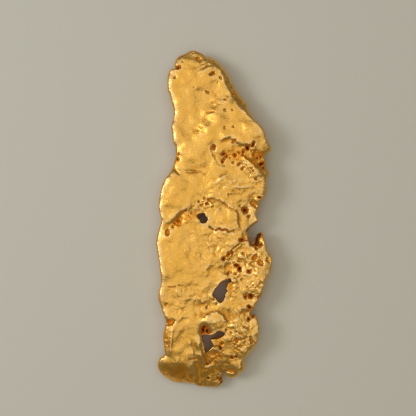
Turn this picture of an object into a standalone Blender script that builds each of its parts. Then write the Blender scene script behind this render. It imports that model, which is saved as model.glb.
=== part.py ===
"""Gold nugget: one waterworn slab of native gold, lying on its back.

The nugget is a single solid, because it grew as one piece. Its plan is a ragged outline with three holes
through it. The face and the back are height fields over that plan, and they meet in a rounded rim. Swells and
hollows make the broad form, steps and bevels its ledges, furrows its folds and cracks, and pits the sockets
that ironstone grains left. The back is worn to small flats at z = 0, on which the nugget lies.

Frame: +X across the face, +Y along the length, +Z up through the face. The origin is under the middle of the
plan. The lists below are in millimetres of the nominal nugget, and the driving dimensions scale them.
"""
import math

import bpy
import numpy as np
from mathutils import Vector, geometry, kdtree, noise

# ---- driving dimensions, metres ----
LENGTH = 0.0676        # along Y, tip to tip
THICKNESS = 0.0064     # from the flats to the highest swell
RIM_RADIUS = 0.00025   # how far in from the edge the face turns over sharply
HOLE_RADIUS = 0.00015  # the same at a hole's edge
HULL_RADIUS = 0.0024   # how far in the back is still rounding up to the edge, like a hull
HULL_HOLE_RADIUS = 0.0008
FLAT_BAND = 0.00003    # anything this close to the ground is worn flat

MM = 0.001             # metres in the lists' unit

# ---- the nominal nugget that the lists describe, millimetres ----
FACE_LEVEL = 4.3       # the face before its relief
RIM_LEVEL = 2.9        # where face and back meet
BACK_LEVEL = 0.7       # the back before its relief
THINNEST = 0.7         # least gold left between a pit and the back

# ---- how finely the solid is cut, millimetres ----
RIM_STEP = 0.42
GRID_STEP = 0.40
FINER = 8              # how much finer the edge is followed when distances from it are measured
RIM_TURNS = (15, 35, 60)   # degrees round the rim's curve at which rings of points lie
TRIANGLES = 9600
SEED = 7

GOLD = (0.78, 0.42, 0.09, 1.0)
GOLD_ROUGHNESS = 0.34

# Outline, clockwise from the top end
OUTLINE = (
    (-3.8, 33.6), (-2.4, 32.9), (-1.6, 32.1), (-1.4, 32.3), (-0.8, 32.2), (0.5, 31.4), (1.7, 30.2),
    (3.0, 28.1), (3.2, 27.4), (4.9, 24.8), (6.3, 23.1), (6.8, 21.5), (7.3, 20.9), (7.9, 19.8),
    (8.4, 19.5), (9.7, 17.8), (10.0, 17.1), (10.5, 15.5), (11.2, 14.2), (11.0, 13.6), (10.4, 13.2),
    (9.7, 12.3), (10.1, 11.8), (10.1, 10.5), (10.3, 9.9), (10.8, 9.1), (10.4, 7.7), (10.3, 5.9),
    (9.9, 4.3), (9.0, 3.3), (8.5, 1.7), (8.2, 1.0), (8.7, 0.0), (8.6, -0.6), (8.0, -1.0), (6.5, -2.4),
    (6.8, -3.5), (7.1, -5.1), (7.3, -4.9), (7.7, -4.5), (7.9, -4.0), (8.3, -3.5), (8.4, -3.1),
    (9.4, -2.6), (9.8, -3.9), (10.6, -6.3), (11.3, -7.8), (11.3, -9.8), (10.2, -12.4), (9.6, -14.5),
    (9.6, -15.0), (9.2, -15.6), (8.7, -16.1), (8.4, -16.7), (8.1, -17.0), (8.0, -17.6), (7.2, -18.5),
    (7.3, -19.3), (7.6, -19.3), (7.9, -19.0), (8.6, -19.9), (8.9, -21.4), (8.6, -24.2), (8.0, -25.6),
    (6.4, -27.3), (5.8, -28.4), (6.0, -29.6), (5.2, -30.6), (4.7, -30.9), (4.4, -31.4), (3.2, -31.8),
    (2.7, -31.7), (2.1, -31.3), (2.2, -30.7), (2.0, -30.1), (1.7, -30.2), (1.4, -31.3), (1.6, -32.3),
    (1.5, -33.0), (1.0, -33.5), (-0.5, -33.9), (-3.0, -33.6), (-4.5, -32.9), (-5.6, -33.1), (-7.7, -33.0),
    (-9.2, -32.4), (-10.9, -30.8), (-11.5, -29.4), (-11.1, -28.0), (-10.1, -27.1), (-10.1, -26.4),
    (-10.4, -23.8), (-10.3, -23.0), (-9.8, -20.8), (-10.3, -19.2), (-11.0, -16.9), (-11.3, -16.0),
    (-11.2, -14.2), (-10.8, -12.3), (-11.2, -8.9), (-11.6, -6.1), (-11.7, -4.0), (-10.8, -0.5),
    (-10.8, 0.3), (-11.3, 2.7), (-10.8, 5.8), (-10.2, 7.7), (-9.0, 9.2), (-8.1, 11.4), (-7.8, 13.9),
    (-8.4, 15.6), (-8.7, 18.3), (-8.3, 20.1), (-8.3, 22.0), (-8.6, 22.8), (-9.0, 24.8), (-9.4, 25.4),
    (-9.5, 27.2), (-9.2, 29.2), (-8.6, 30.0), (-8.2, 30.0), (-8.0, 30.3), (-8.1, 30.8), (-7.4, 32.3),
    (-6.0, 33.0), (-4.9, 33.6),
)

# Holes worn right through
HOLES = (
    ((-3.5, 0.6), (-3.2, 0.9), (-2.6, 1.0), (-2.1, 1.0), (-1.9, 0.5), (-1.6, 0.2), (-1.6, -0.3), (-1.9, -0.6),
     (-2.4, -0.7), (-2.8, -0.6), (-2.9, -0.1), (-3.2, 0.2)),
    ((2.8, -11.9), (3.1, -12.1), (3.1, -12.5), (2.6, -12.6), (2.2, -13.6), (2.1, -14.0), (2.4, -14.3),
     (2.1, -14.7), (1.7, -15.9), (1.1, -16.5), (0.7, -16.3), (0.3, -15.8), (-0.2, -15.4), (-0.3, -14.9),
     (0.2, -13.9), (0.6, -13.6), (1.0, -12.9), (1.5, -12.5), (2.5, -12.1)),
    ((-2.3, -23.1), (-0.9, -23.1), (-0.3, -23.1), (0.3, -22.7), (0.8, -22.4), (1.2, -22.5), (1.7, -22.7),
     (1.7, -23.0), (1.1, -23.4), (0.6, -23.7), (-0.1, -23.7), (-0.7, -23.8), (-0.9, -24.2), (-0.5, -25.0),
     (-0.6, -25.5), (-1.4, -26.3), (-1.6, -26.6), (-1.8, -26.5), (-2.1, -25.0), (-2.3, -24.3), (-2.4, -23.7)),
)

# Broad swells (rise > 0) and hollows (rise < 0) of the face: x, y, half-width, half-height, turn, rise.
# Turns are in degrees throughout
FACE_SWELLS = (
    # crown of the upper end, its thin tip, and the plateau on the right shoulder
    (-3.6, 25.0, 4.6, 8.0, 8, 0.25), (-5.0, 31.5, 3.0, 2.2, 0, -0.25), (8.8, 17.3, 5.0, 4.4, 20, 0.55),
    # the pitted hollow under the plateau, and where it runs out of the right side
    (3.6, 12.3, 4.6, 1.8, -4, -0.22), (8.9, 11.6, 1.6, 1.3, 0, -0.2),
    # the waist: a round boss, and the nip on its left
    (-3.5, 12.7, 2.6, 2.0, 0, 0.15), (-7.6, 12.2, 1.2, 2.0, 0, -0.14),
    # the upper left plate, the rippled middle, and a slanted plate on the right
    (-7.0, 5.0, 3.8, 4.0, 0, 0.35), (2.4, 7.2, 4.2, 2.2, -12, 0.3), (7.4, 10.6, 1.4, 3.0, 38, 0.5),
    # two knobs over the small hole, and the plate to its right
    (-1.9, 3.6, 0.7, 0.6, 0, 0.15), (-0.7, 2.9, 0.6, 0.7, 0, 0.12), (2.6, -0.6, 2.4, 2.6, 0, 0.1),
    # the lower left plate, the neck behind the notch, and the hollow of the horn
    (-9.4, -8.5, 4.5, 5.0, 0, 0.2), (6.6, -2.2, 1.6, 1.4, 0, -0.1), (9.0, -3.8, 0.9, 1.6, -15, -0.35),
    # the stained hollow over the middle hole, and the lumpy right side
    (2.5, -9.9, 1.4, 1.2, 0, -0.35), (10.6, -13.0, 3.0, 4.0, 15, 0.4),
    # the boss under the arc ledge, and the hollows over and under the lower hole
    (-0.5, -20.2, 2.6, 1.5, 0, 0.3), (-2.2, -22.2, 1.1, 1.0, 0, -0.5), (-0.8, -27.8, 1.5, 1.3, 20, -0.5),
    # lumps right of the lower hole, and the small lobe beside the slot
    (5.0, -22.0, 2.2, 2.4, 0, 0.3), (4.1, -30.0, 1.8, 1.6, 0, 0.3),
    # the bulbous lobe at the foot
    (-7.2, -28.6, 4.4, 2.8, -6, 0.3),
)

# Steps: height, softness, reach, then the step's line. The left of the line is the high side
FACE_STEPS = (
    # the plateau's lower edge
    (0.26, 0.28, 1.6, ((1.8, 15.8), (3.2, 16.2), (4.0, 15.2), (5.0, 14.6), (6.4, 14.8))),
    # the arc round the pitted hollow
    (0.15, 0.14, 1.5, ((1.4, 10.6), (0.2, 10.8), (-0.3, 12.2), (-0.6, 13.4))),
    # the slanted plate's edge
    (0.7, 0.18, 1.6, ((9.6, 8.4), (9.0, 9.8), (7.8, 11.2), (6.2, 12.2))),
    # the long curved step, and the same turned down the right of the small hole
    (0.18, 0.1, 1.0, ((-2.7, 5.0), (-1.0, 4.0), (1.0, 3.8), (3.0, 2.4), (4.2, 1.9))),
    (0.3, 0.14, 2.2, ((6.8, -4.6), (5.4, -3.4), (4.9, -2.2), (4.7, -0.2), (4.3, 1.4))),
    # the arc ledge over the lower hole, and the ledge on its left
    (0.4, 0.18, 2.0, ((2.2, -19.8), (0.8, -18.4), (-0.8, -18.5), (-1.8, -18.9), (-2.5, -19.8))),
    (0.08, 0.16, 1.6, ((-7.6, -20.6), (-6.4, -19.7), (-5.0, -19.9), (-3.4, -20.0))),
    # the wall left of the lower hole, and the ledge outside it
    (0.42, 0.32, 1.0, ((-2.1, -27.2), (-2.7, -25.8), (-2.9, -24.4), (-3.0, -23.0), (-2.8, -21.8))),
    (0.25, 0.1, 1.0, ((-4.2, -26.4), (-4.4, -25.6), (-4.7, -24.8))),
    # the fall right of the arc ledge
    (0.3, 0.45, 1.6, ((2.6, -18.4), (4.2, -18.7), (5.8, -18.2))),
    # the left plate's fall, from the middle hole up to the notch
    (0.38, 0.8, 2.4, ((-0.9, -9.8), (1.4, -7.9), (3.4, -6.4), (5.0, -5.2))),
)

# A broad bank, written as a step
FACE_BANKS = (
    # the fall of the rippled part towards the foot
    (0.44, 1.6, 3.0, ((-12.0, -16.4), (-7.0, -16.0), (-3.0, -16.4))),
    # west side of the plateau
    (1.3, 2.0, 4.5, ((0.3, 23.4), (-0.2, 22.0), (-1.4, 19.6), (-3.0, 17.6))),
)

# Bevels, where the face falls away to the right of the line: fall per mm, greatest fall, softness, line
FACE_BEVELS = (
    # the right shoulder
    (0.56, 2.0, 0.5, ((10.4, 15.8), (9.2, 17.8), (7.1, 19.8), (4.9, 21.8), (3.7, 23.7), (2.5, 25.8),
                      (1.8, 27.9), (0.5, 29.6), (-0.6, 30.8), (-1.8, 32.0))),
    # the thin top end
    (0.37, 1.2, 3.5, ((-0.2, 29.6), (-2.6, 30.4), (-4.4, 31.0), (-7.0, 31.0))),
    # the strip down the left side
    (0.12, 1.0, 0.4, ((-8.2, -21.0), (-8.6, -23.2), (-8.8, -26.2), (-9.2, -27.4))),
    # the lower right corner
    (0.6, 2.0, 0.4, ((5.0, -28.4), (5.8, -26.6), (7.0, -25.2), (8.2, -24.2))),
    # the whole foot
    (0.3, 2.0, 9.0, ((-12.0, -21.6), (-4.0, -21.8), (2.0, -22.6), (9.0, -25.6))),
    # the foot right of the lobe
    (0.24, 0.5, 2.0, ((-3.4, -26.9), (-0.4, -26.7), (3.0, -27.0), (6.4, -27.6))),
    # the lobe's underside
    (0.66, 3.0, 8.0, ((-12.6, -28.7), (-9.4, -28.5), (-7.0, -28.3), (-5.2, -28.7), (-3.6, -29.7))),
)

# Furrows (depth > 0) and folds (depth < 0): depth, half-width, then the line
FACE_FURROWS = (
    # the slanted socket near the top
    (0.32, 0.19, ((-0.75, 28.7), (-0.3, 28.92))),
    # the fold under the boss, its lip, and the nick at the waist
    (0.05, 0.45, ((-6.0, 10.6), (-3.0, 10.4), (0.2, 10.8))),
    (-0.14, 0.16, ((-6.8, 9.7), (-4.4, 9.4), (-1.4, 9.0))),
    (0.4, 0.22, ((-8.2, 10.2), (-7.1, 9.0))),
    # the band that runs into the small hole, and the open crack under it
    (0.42, 0.8, ((-9.6, -2.0), (-8.0, -0.6), (-6.6, 0.8), (-4.0, 1.6), (-2.4, 2.0))),
    (0.3, 0.12, ((-1.1, -1.5), (-0.4, -2.0))),
    (0.5, 0.11, ((0.1, -2.2), (0.8, -1.95), (1.4, -2.35), (2.2, -2.15), (2.8, -2.55), (3.4, -2.35),
                 (4.0, -2.6))),
    # short furrows down the right side
    (0.35, 0.3, ((4.8, -8.2), (6.2, -8.7))),
    (0.45, 0.25, ((5.1, -22.7), (6.2, -23.6))),
    (0.45, 0.25, ((7.2, -23.4), (7.4, -24.8))),
    # the gully down the foot, the nick over the lobe, and the crease at the very foot
    (0.08, 0.4, ((-2.2, -26.6), (-1.8, -27.8), (-1.6, -29.2))),
    (0.35, 0.14, ((-5.0, -28.0), (-3.6, -28.1))),
    (0.22, 0.3, ((-5.6, -31.6), (-4.6, -32.2), (-3.9, -33.2))),
    # an upright lump beside the middle hole
    (-0.14, 0.45, ((3.9, -12.2), (3.9, -13.8))),
)

# Sockets of lost ironstone grains in the face: x, y, radius, depth
FACE_PITS = (
    # the upper end
    (-7.4, 30.0, 0.35, 0.45), (-3.2, 32.0, 0.37, 0.35), (1.0, 28.1, 0.3, 0.22), (3.7, 25.0, 0.31, 0.35),
    # the pitted hollow under the plateau
    (-0.1, 14.0, 0.35, 0.5), (1.7, 12.9, 0.31, 0.6), (1.4, 11.6, 0.3, 0.45), (3.9, 12.7, 0.3, 0.45),
    (5.6, 13.2, 0.3, 0.45), (6.3, 14.2, 0.36, 0.8), (7.5, 14.9, 0.33, 0.7), (8.4, 12.8, 0.62, 0.25),
    (9.4, 11.0, 0.42, 0.8),
    # round the small hole, and down the right side to the horn
    (7.8, 3.2, 0.66, 0.3), (6.0, 1.7, 0.48, 0.7), (-7.3, -0.4, 0.37, 0.45), (-9.4, -2.6, 0.44, 0.35),
    (5.6, -4.2, 0.4, 0.7), (8.4, -4.1, 0.35, 0.6), (8.9, -3.1, 0.33, 0.4), (9.0, -5.0, 0.3, 0.4),
    # between the horn and the middle hole
    (2.7, -6.9, 0.3, 0.45), (1.7, -7.8, 0.32, 0.5), (7.9, -7.6, 0.48, 0.4), (9.3, -8.8, 0.42, 0.35),
    (10.6, -8.2, 0.37, 0.22), (4.2, -9.3, 0.33, 0.9), (4.8, -10.1, 0.37, 1.1), (6.9, -10.3, 0.37, 0.6),
    # the lower right side
    (6.1, -15.3, 0.3, 0.45), (7.1, -15.4, 0.35, 0.6), (6.8, -17.5, 0.37, 0.65), (6.8, -19.9, 0.32, 0.55),
    (4.3, -24.1, 0.32, 0.45), (3.4, -27.7, 0.3, 0.4),
    # the foot
    (-8.8, -20.5, 0.53, 0.4), (-2.3, -22.0, 0.4, 0.8), (-1.4, -22.3, 0.44, 0.8), (1.5, -24.8, 0.3, 0.4),
    (-10.0, -30.9, 0.37, 0.22), (0.9, -32.0, 0.3, 0.45),
)

# The back: swells above BACK_LEVEL lift clear of the ground, and hollows below it are worn to flats at z = 0
BACK_SWELLS = (
    (-3.0, 26.0, 3.2, 3.4, 0, -1.5),      # flat under the upper end
    (5.0, 17.0, 2.6, 2.6, 0, -1.1),
    (-7.4, 4.0, 2.6, 3.6, 0, -1.3),       # flat on the left
    (5.6, -9.4, 3.4, 3.0, 0, -1.5),       # flat on the right
    (-6.4, -27.0, 3.0, 2.6, 0, -1.5),     # flat under the foot
    (4.4, -24.6, 2.2, 2.2, 0, -1.1),
    (0.0, 12.6, 6.0, 2.6, 6, 0.8),        # hollow under the waist
    (-1.0, -16.0, 5.0, 3.0, -20, 0.7),
    (-6.5, 15.5, 2.0, 3.0, 0, 0.5),
    (1.0, 2.0, 3.4, 3.0, 0, 0.6),
    (-5.0, -15.0, 2.6, 2.2, 0, 0.4),
)
BACK_PITS = 26             # sockets on the back
BACK_PIT_RADIUS = (0.3, 0.8)

# Spongy patches, where small hollows crowd together: x, y, half-width, half-height, turn in degrees, depth
SPONGE = (
    # the pitted hollow, the right side down to the horn, and above the small hole
    (3.6, 12.4, 4.4, 1.6, 4, 0.7), (8.2, 12.2, 2.0, 2.2, 0, 0.8), (8.6, 3.6, 1.6, 2.2, 0, 0.4),
    (-3.0, 2.4, 3.4, 0.9, 20, 0.6), (8.6, -4.4, 1.2, 2.2, -12, 0.8), (2.6, -7.6, 2.6, 1.6, 20, 0.5),
    # the lower right side, and round the lower hole
    (8.4, -9.2, 2.6, 3.0, 0, 0.6), (6.8, -16.4, 2.0, 3.6, 0, 0.5), (4.6, -23.4, 3.6, 4.0, 0, 0.7),
    (-0.4, -27.4, 2.6, 2.2, 25, 0.8), (1.0, -31.4, 1.6, 1.6, 0, 0.6), (-1.2, -21.8, 2.0, 1.2, 0, 0.6),
    # the middle
    (-2.0, -4.0, 6.0, 3.4, 0, 0.3), (-3.0, -16.0, 5.0, 3.0, 0, 0.3),
)
SPONGE_HOLES = ((1.2, 0.10), (0.6, 0.09))      # size of the lumps there in mm, and how far they stand

# Rippled patches: x, y, half-width, half-height, the way the ripples run in degrees, and how far they stand
RIPPLES = (
    # below the middle, across the rippled swell, and up the bank of the plateau
    (-5.0, -16.5, 6.0, 4.0, 4, 0.09), (1.0, 7.6, 4.0, 3.0, 38, 0.055), (6.8, 6.6, 4.0, 3.4, 8, 0.055),
    (-1.2, 21.0, 2.2, 3.6, 55, 0.035),
    # round the waist, and down the plate beside the lower hole
    (-3.0, 10.5, 4.5, 2.0, -4, 0.03), (-6.5, -24.0, 2.4, 3.6, 68, 0.06),
)
RIPPLE_SIZE = (3.2, 0.8)   # along the ripples and across them

# Unevenness all over: size of the lumps in mm, and how far they stand
LUMPS = ((7.0, 0.20), (2.6, 0.04), (1.1, 0.027))
SMOOTH_SIDE = 0.34         # share of the small lumps left on the water-smoothed left third
RIM_LUMPS = ((7.0, 0.50), (2.5, 0.25))         # the same for the line where face and back meet
SIDE_LUMPS = ((1.8, 0.14), (0.7, 0.04))        # lumps that knock the sides about
WANDER = ((2.2, 0.40), (0.8, 0.18))            # size and reach of the wander that keeps everything irregular
PILLOW = (0.24, 0.32)      # how far the face rolls off towards its edge, and over how wide a strip
FADE = (3.2, 0.65, 0.9)    # size, mean and swing of the noise that makes ledges and folds come and go
RIM_VARIES = (3.0, 0.45)   # size and swing of the noise that makes the edge sharper here, rounder there
# Where water has worn the face smooth: x, y, half-width, half-height, turn, share of the unevenness gone
WORN = (
    (-8.0, -30.4, 4.4, 2.4, -10, 0.9), (-9.0, 5.0, 2.6, 8.0, 0, 0.4), (-8.6, -10.0, 2.6, 8.0, 0, 0.4),
    (-6.0, 22.0, 3.0, 8.0, 0, 0.65), (5.8, 18.8, 4.0, 3.0, 25, 0.5), (-0.8, 21.0, 3.0, 4.0, 0, 0.7),
    (-8.7, -24.4, 1.4, 3.6, 0, 0.7),
)

# How each kind of relief ends or varies
CURVE_PARTS = 24               # spots on each stretch of an outline before they are spaced evenly
RING_CLEAR = 0.93              # spots nearer the edge than this share of their ring's depth are dropped
GRID_CLEAR = 0.6               # and grid spots nearer a ring than this share of a step
GRID_JITTER = 0.18             # how far grid spots are moved, as a share of a step
STEP_END = 0.6                 # how far past its ends a ledge runs on, on top of its softness
BEVEL_END = 0.8                # the same for a bevel
PIT_TURN = (2.4, 1.7)          # how a pit's place turns it, in radians a mm along X and Y
PIT_SQUASH = (0.25, 5.1, 3.3)  # how much a pit is squashed, and how its place varies that
SMOOTH_EDGE = (-2.0, 1.5)      # where the water-smoothed left side ends, and over how wide a strip
BROAD = 4.0                    # lumps as wide as this aren't worn away
BACK_ROUGHNESS = 2.0           # the back's unevenness against the face's
BACK_PIT_DEPTH = 0.8           # depth of a pit on the back against its radius
RIM_CLEAR = 0.3                # the rim stays this far below the face and above the back

# Each kind of unevenness reads its own level of the noise
FACE_NOISE = 3.1
BACK_NOISE = 8.6
RIM_NOISE = 5.7
EDGE_NOISE = 81.4
WANDER_NOISE = (21.3, 47.9)
SPONGE_NOISE = 63.2
RIPPLE_NOISE = 90.6
FADE_NOISE = 35.7


def smooth_loop(points, step):
    """Points about a step apart on a closed Catmull-Rom curve through the given points."""
    here = np.array(points, float)
    before = np.roll(here, 1, axis=0)
    after = np.roll(here, -1, axis=0)
    beyond = np.roll(here, -2, axis=0)
    part = np.linspace(0.0, 1.0, CURVE_PARTS, endpoint=False)[:, None, None]
    bend = 2 * before - 5 * here + 4 * after - beyond
    twist = 3 * here - before - 3 * after + beyond
    curve = here + 0.5 * part * ((after - before) + part * (bend + part * twist))
    curve = curve.transpose(1, 0, 2).reshape(-1, 2)
    curve = np.vstack([curve, curve[:1]])
    along = np.concatenate([[0.0], np.cumsum(np.linalg.norm(np.diff(curve, axis=0), axis=1))])
    at = np.linspace(0.0, along[-1], max(8, round(along[-1] / step)), endpoint=False)
    return np.column_stack([np.interp(at, along, curve[:, 0]), np.interp(at, along, curve[:, 1])])


def inside(spots, loops):
    """Which spots are in the outline and not in a hole, by counting the edges to the right of each."""
    crossings = np.zeros(len(spots), int)
    order = np.argsort(spots[:, 1])
    rows = spots[order, 1]
    for loop in loops:
        for (x0, y0), (x1, y1) in zip(loop, np.roll(loop, -1, axis=0)):
            if y0 == y1:
                continue
            first, last = np.searchsorted(rows, (min(y0, y1), max(y0, y1)))
            band = order[first:last]
            cut = x0 + (spots[band, 1] - y0) * (x1 - x0) / (y1 - y0)
            crossings[band] += spots[band, 0] < cut
    return crossings % 2 == 1


def tree_of(spots):
    tree = kdtree.KDTree(len(spots))
    for index, (x, y) in enumerate(spots):
        tree.insert((x, y, 0.0), index)
    tree.balance()
    return tree


def distance_to(tree, spots):
    return np.array([tree.find((x, y, 0.0))[2] for x, y in spots])


def plan_spots(loops):
    """The rim's points, rings of points a little way in from it, and a jittered grid over the rest."""
    fine = np.vstack([smooth_loop(points, RIM_STEP / FINER) for points in (OUTLINE,) + HOLES])
    rim_tree = tree_of(fine)
    kept = [np.vstack(loops)]
    for loop_index, loop in enumerate(loops):
        radius = (RIM_RADIUS if loop_index == 0 else HOLE_RADIUS) / MM
        run = np.roll(loop, -1, axis=0) - np.roll(loop, 1, axis=0)
        run /= np.linalg.norm(run, axis=1)[:, None]
        across = np.column_stack([run[:, 1], -run[:, 0]])
        for turn in RIM_TURNS:
            depth = radius * (1 - math.cos(math.radians(turn)))
            for side in (1, -1):
                ring = loop + side * depth * across
                ring = ring[inside(ring, loops)]
                ring = ring[distance_to(rim_tree, ring) > RING_CLEAR * depth]
                kept.append(ring)
    rng = np.random.default_rng(SEED)
    low = loops[0].min(axis=0)
    high = loops[0].max(axis=0)
    rows = np.arange(low[1], high[1], GRID_STEP * math.sqrt(0.75))
    columns = np.arange(low[0], high[0], GRID_STEP)
    grid = np.array([(x + (row % 2) * GRID_STEP / 2, y) for row, y in enumerate(rows) for x in columns])
    grid += rng.uniform(-GRID_JITTER, GRID_JITTER, grid.shape) * GRID_STEP
    grid = grid[inside(grid, loops)]
    taken = tree_of(np.vstack(kept))
    kept.append(grid[distance_to(taken, grid) > GRID_CLEAR * GRID_STEP])
    return np.vstack(kept)


def triangulate(loops):
    """Triangles over the plan: spots, triangles, and how many of the spots, at the front, are the rim's."""
    spots = plan_spots(loops)
    rim_edges = []
    start = 0
    for loop in loops:
        count = len(loop)
        rim_edges += [(start + k, start + (k + 1) % count) for k in range(count)]
        start += count
    rim = set(rim_edges) | {(b, a) for a, b in rim_edges}
    while True:
        found = geometry.delaunay_2d_cdt([Vector(spot) for spot in spots], rim_edges, [], 0, 1e-9)
        given = np.array([ids[0] for ids in found[3]])
        triangles = given[np.array(found[2])]
        triangles = triangles[inside(spots[triangles].mean(axis=1), loops)]
        at_rim = triangles < start
        both = at_rim & np.roll(at_rim, 1, axis=1)
        pairs = {(int(t[k]), int(t[k - 1]))
                 for t, b in zip(triangles, both) if b.any() for k in range(3) if b[k]}
        across = sorted({tuple(sorted(pair)) for pair in pairs if pair not in rim})
        if not across:
            return spots, triangles, start
        spots = np.vstack([spots, [(spots[a] + spots[b]) / 2 for a, b in across]])


def bump(x, y, spot_x, spot_y, half_width, half_height, turn, rise):
    """A rounded swell or hollow."""
    c = math.cos(math.radians(turn))
    s = math.sin(math.radians(turn))
    u = ((x - spot_x) * c + (y - spot_y) * s) / half_width
    v = ((y - spot_y) * c - (x - spot_x) * s) / half_height
    return rise * np.exp(-(u * u + v * v))


def from_line(x, y, line):
    """Distance from a line, its left positive, and how far past the line's ends each spot lies.

    Past either end the distance is from the line run straight on, so that nothing jumps there.
    """
    nearest = np.full(x.shape, 1e9)
    side = np.zeros(x.shape)
    past = np.zeros(x.shape)
    last = len(line) - 2
    for index, ((x0, y0), (x1, y1)) in enumerate(zip(line[:-1], line[1:])):
        run_x = x1 - x0
        run_y = y1 - y0
        length = math.hypot(run_x, run_y)
        along = ((x - x0) * run_x + (y - y0) * run_y) / length
        held = np.clip(along, 0.0, length)
        away = np.hypot(x - x0 - held * run_x / length, y - y0 - held * run_y / length)
        across = (run_x * (y - y0) - run_y * (x - x0)) / length
        over = np.zeros(x.shape)
        if index == 0:
            over = np.maximum(over, -along)
        if index == last:
            over = np.maximum(over, along - length)
        closer = away < nearest
        nearest = np.where(closer, away, nearest)
        side = np.where(closer, np.where(over > 0.0, across, np.sign(across) * away), side)
        past = np.where(closer, over, past)
    return side, past


def step(x, y, height, softness, reach, line):
    """A ledge: raised on the left of its line and lowered on the right, both dying away."""
    away, past = from_line(x, y, line)
    end = softness + STEP_END
    shape = np.tanh(away / softness) * np.exp(-np.abs(away) / reach)
    return 0.5 * height * shape * np.exp(-(past / end) ** 2)


def bevel(x, y, slope, most, soft, line):
    """A side that falls away to the right of its line, gently at first."""
    away, past = from_line(x, y, line)
    beyond = np.maximum(-away, 0.0)
    fall = np.minimum(slope * beyond ** 2 / (beyond + soft), most)
    return -fall * np.exp(-(past / BEVEL_END) ** 2)


def furrow(x, y, depth, half_width, line):
    away, past = from_line(x, y, line)
    return -depth * np.exp(-(away / half_width) ** 2) * np.exp(-(past / half_width) ** 2)


def pit(x, y, spot_x, spot_y, radius, depth):
    """A steep socket, squashed one way or another by its place."""
    turn = PIT_TURN[0] * spot_x + PIT_TURN[1] * spot_y
    most, by_x, by_y = PIT_SQUASH
    squash = 1.0 + most * math.sin(by_x * spot_x - by_y * spot_y)
    u = (x - spot_x) * math.cos(turn) + (y - spot_y) * math.sin(turn)
    v = (y - spot_y) * math.cos(turn) - (x - spot_x) * math.sin(turn)
    out = np.hypot(u * squash, v / squash) / radius
    return -depth * np.exp(-out ** 3)


def waves(x, y, size, level):
    """Smooth noise from about -1 to 1, in lumps of the given size."""
    return np.array([noise.noise((a, b, level)) for a, b in zip((x / size).tolist(), (y / size).tolist())])


def unworn(x, y):
    """The share of the unevenness left in the worn places."""
    left = np.ones(x.shape)
    for place in WORN:
        left *= 1.0 - bump(x, y, *place)
    return left


def lumps(x, y, level, table):
    """Unevenness, weaker on the left and in the worn places, which water has smoothed."""
    middle, strip = SMOOTH_EDGE
    rough = unworn(x, y) * (SMOOTH_SIDE + (1 - SMOOTH_SIDE) / (1 + np.exp((middle - x) / strip)))
    total = np.zeros(x.shape)
    for size, stand in table:
        total += stand * waves(x, y, size, level) * (rough if size < BROAD else 1.0)
    return total


def wander(x, y):
    """The same spots moved a little by smooth noise, so that what is drawn there isn't straight or round."""
    moved_x = x.copy()
    moved_y = y.copy()
    for size, reach in WANDER:
        moved_x += reach * waves(x, y, size, WANDER_NOISE[0]) * unworn(x, y)
        moved_y += reach * waves(x, y, size, WANDER_NOISE[1]) * unworn(x, y)
    return moved_x, moved_y


def sponge(x, y):
    """Crowded small lumps and hollows in the spongy patches."""
    depth = np.zeros(x.shape)
    for patch in SPONGE:
        depth = np.maximum(depth, bump(x, y, *patch))
    total = np.zeros(x.shape)
    for size, stand in SPONGE_HOLES:
        total += stand * waves(x, y, size, SPONGE_NOISE)
    return depth * total


def ripples(x, y):
    """Drawn-out lumps in the rippled patches."""
    along, across = RIPPLE_SIZE
    total = np.zeros(x.shape)
    for spot_x, spot_y, half_width, half_height, turn, stand in RIPPLES:
        c = math.cos(math.radians(turn))
        s = math.sin(math.radians(turn))
        u = (x * c + y * s) * across / along
        v = y * c - x * s
        patch = bump(x, y, spot_x, spot_y, half_width, half_height, 0, stand)
        total += patch * waves(u, v, across, RIPPLE_NOISE)
    return total


def fading(x, y):
    """How strongly ledges and folds show at each spot."""
    size, mean, swing = FADE
    return np.clip(mean + swing * waves(x, y, size, FADE_NOISE), 0.0, 1.2)


def face_height(x, y):
    z = FACE_LEVEL + lumps(x, y, FACE_NOISE, LUMPS)
    fade = fading(x, y)
    x, y = wander(x, y)
    for swell in FACE_SWELLS:
        z += bump(x, y, *swell)
    for bank in FACE_BANKS:
        z += step(x, y, *bank)
    for ledge in FACE_STEPS:
        z += fade * step(x, y, *ledge)
    for side in FACE_BEVELS:
        z += bevel(x, y, *side)
    for fold in FACE_FURROWS:
        z += fade * furrow(x, y, *fold)
    for socket in FACE_PITS:
        z += pit(x, y, *socket)
    return z + sponge(x, y) + ripples(x, y)


def back_height(x, y):
    z = BACK_LEVEL - BACK_ROUGHNESS * lumps(x, y, BACK_NOISE, LUMPS)
    x, y = wander(x, y)
    for swell in BACK_SWELLS:
        z += bump(x, y, *swell)
    rng = np.random.default_rng(SEED)
    low = np.array(OUTLINE).min(axis=0)
    high = np.array(OUTLINE).max(axis=0)
    for spot in rng.uniform(low, high, (BACK_PITS, 2)):
        radius = rng.uniform(*BACK_PIT_RADIUS)
        z -= pit(x, y, spot[0], spot[1], radius, BACK_PIT_DEPTH * radius)
    return z


def rim_share(outline_distance, hole_distance, outline_radius, hole_radius):
    """How much of its full height a surface has, from 0 at the rim to 1 beyond the rim's curve."""
    out = np.clip(outline_distance * MM / outline_radius, 0.0, 1.0)
    hole = np.clip(hole_distance * MM / hole_radius, 0.0, 1.0)
    return np.sqrt(1 - (1 - out) ** 2) * np.sqrt(1 - (1 - hole) ** 2)


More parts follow.
